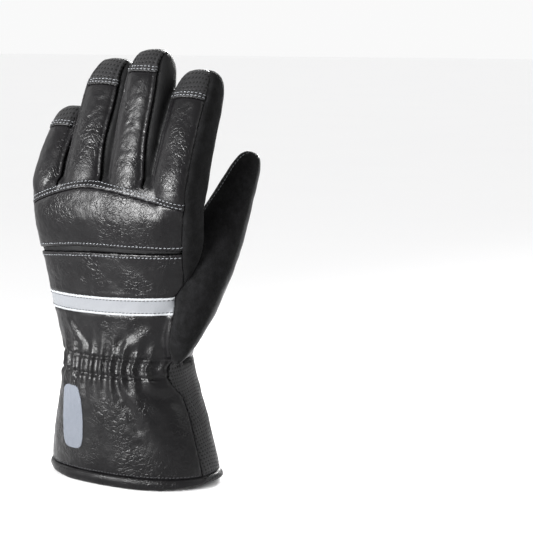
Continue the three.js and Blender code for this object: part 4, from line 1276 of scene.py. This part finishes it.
# %% Give each piece its finish and its place in the frame
film = cloth("plain_film", 0.2, (0.07, 0.078, 0.093), (0.088, 0.096, 0.112), (40.0, 3.0), (500.0, 3.0),
             0.0001, (120.0, 2.0, 0.45, 0.6))
grey_thread = thread("grey_thread", (0.055, 0.058, 0.062), (0.15, 0.155, 0.165))
dark_thread = thread("dark_thread", (0.008, 0.008, 0.009), (0.035, 0.035, 0.038))
FINISH = {
    "back_leather": back_leather(), "smooth_leather": smooth_leather(), "suede": suede(),
    "perforated_leather": perforated_leather(), "reflective_tape": reflective_tape(),
    "fourchette": cloth("fourchette", 0.14, (0.0015, 0.0015, 0.0017), (0.005, 0.005, 0.0053), (60.0, 3.0),
                        (700.0, 3.0), 0.0002, (90.0, 3.0, 0.55, 0.75))}
WEARS = {
    "back_leather": ["finger_back_leather", "knuckle_leather", "hand_back_leather", "cuff_back_leather",
                     "hem_back"],
    "smooth_leather": ["thumb_outer_leather"],
    "suede": ["thumb_back_suede", "side_panel_index", "side_strip_little"],
    "perforated_leather": ["palm_perforated", "thumb_pad_perforated", "hem_palm"],
    "reflective_tape": ["reflective_strip"],
    "fourchette": ["fourchette_index_middle", "fourchette_middle_ring", "fourchette_ring_little",
                   "flex_gusset"]}
SLOT_OF = {name: slot for slot, names in WEARS.items() for name in names}


def finish_piece(piece, material):
    piece.data.materials.clear()
    piece.data.materials.append(material)
    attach(piece, "root")


for name, piece in {**panels, **trims, **hems}.items():
    if name in SLOT_OF:
        piece.name = name + "_sewn"
        finish_piece(piece, FINISH[SLOT_OF[name]])
        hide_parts(name)
finish_piece(trims["plain_patch"], film)
seams = {back_stitches: grey_thread, hem_stitches: dark_thread, tape_stitches: dark_thread,
         thumb_stitches: grey_thread}
for piece, material in seams.items():
    finish_piece(piece, material)
print("pieces", len(panels) + len(trims) + len(hems) + len(seams))

# %% [markdown]
# ## Floor and light
# The photograph has a plain pale ground with a soft dark shadow under the cuff, and soft lights that leave
# long gentle highlights on the back leather. Large area lights do that, over a large pale floor in a pale
# room.

# %% Make the floor
def pale_floor():
    f = Finish("pale_floor", Specular_IOR_Level=0.1)
    colour = f.blend(f.noise(3.0, 2.0), (0.94, 0.94, 0.945), (0.96, 0.96, 0.96))
    return f.made(colour, f.mottled(8.0, 2.0, 0.85, 0.95))


bpy.ops.object.select_all(action="DESELECT")
bpy.ops.mesh.primitive_plane_add(size=30)
floor = bpy.context.object
floor.name = "floor"
floor.data.materials.append(pale_floor())

# %% Make the lights
def softbox(name, place, aim, size, power, spread=180):
    bpy.ops.object.light_add(type="AREA", location=place)
    light = bpy.context.object
    light.name = name
    light.data.shape = "RECTANGLE"
    light.data.size, light.data.size_y = size
    light.data.energy = power
    light.data.spread = math.radians(spread)
    light.rotation_euler = (Vector(aim) - Vector(place)).to_track_quat("-Z", "Y").to_euler()


MIDDLE = (0, 0, 0.16)
softbox("key_light", (-0.38, -1.02, 0.38), (0, 0, 0.235), (0.62, 0.5), 5.0, spread=34)
softbox("fill_light", (1.1, 0.25, 0.7), MIDDLE, (0.35, 0.7), 4)
softbox("rim_light", (-1.1, -0.2, 0.6), MIDDLE, (0.3, 0.7), 2)
softbox("palm_light", (-0.3, 1.1, 0.6), (0, 0, 0.19), (0.5, 0.5), 3.2, spread=50)
world = bpy.data.worlds.new("pale_room")
bpy.context.scene.world = world
world.use_nodes = True
world.node_tree.nodes["Background"].inputs[0].default_value = (1, 1, 1, 1)
world.node_tree.nodes["Background"].inputs[1].default_value = 0.95
bpy.context.scene.view_settings.view_transform = "Standard"

# %% [markdown]
# ## Bring the scene up to date
# The view layer is updated once every piece is made. The dressed glove has to stay inside the
# frame's box, apart from what leather may stand proud.

# %% Update the view layer
bpy.context.view_layer.update()
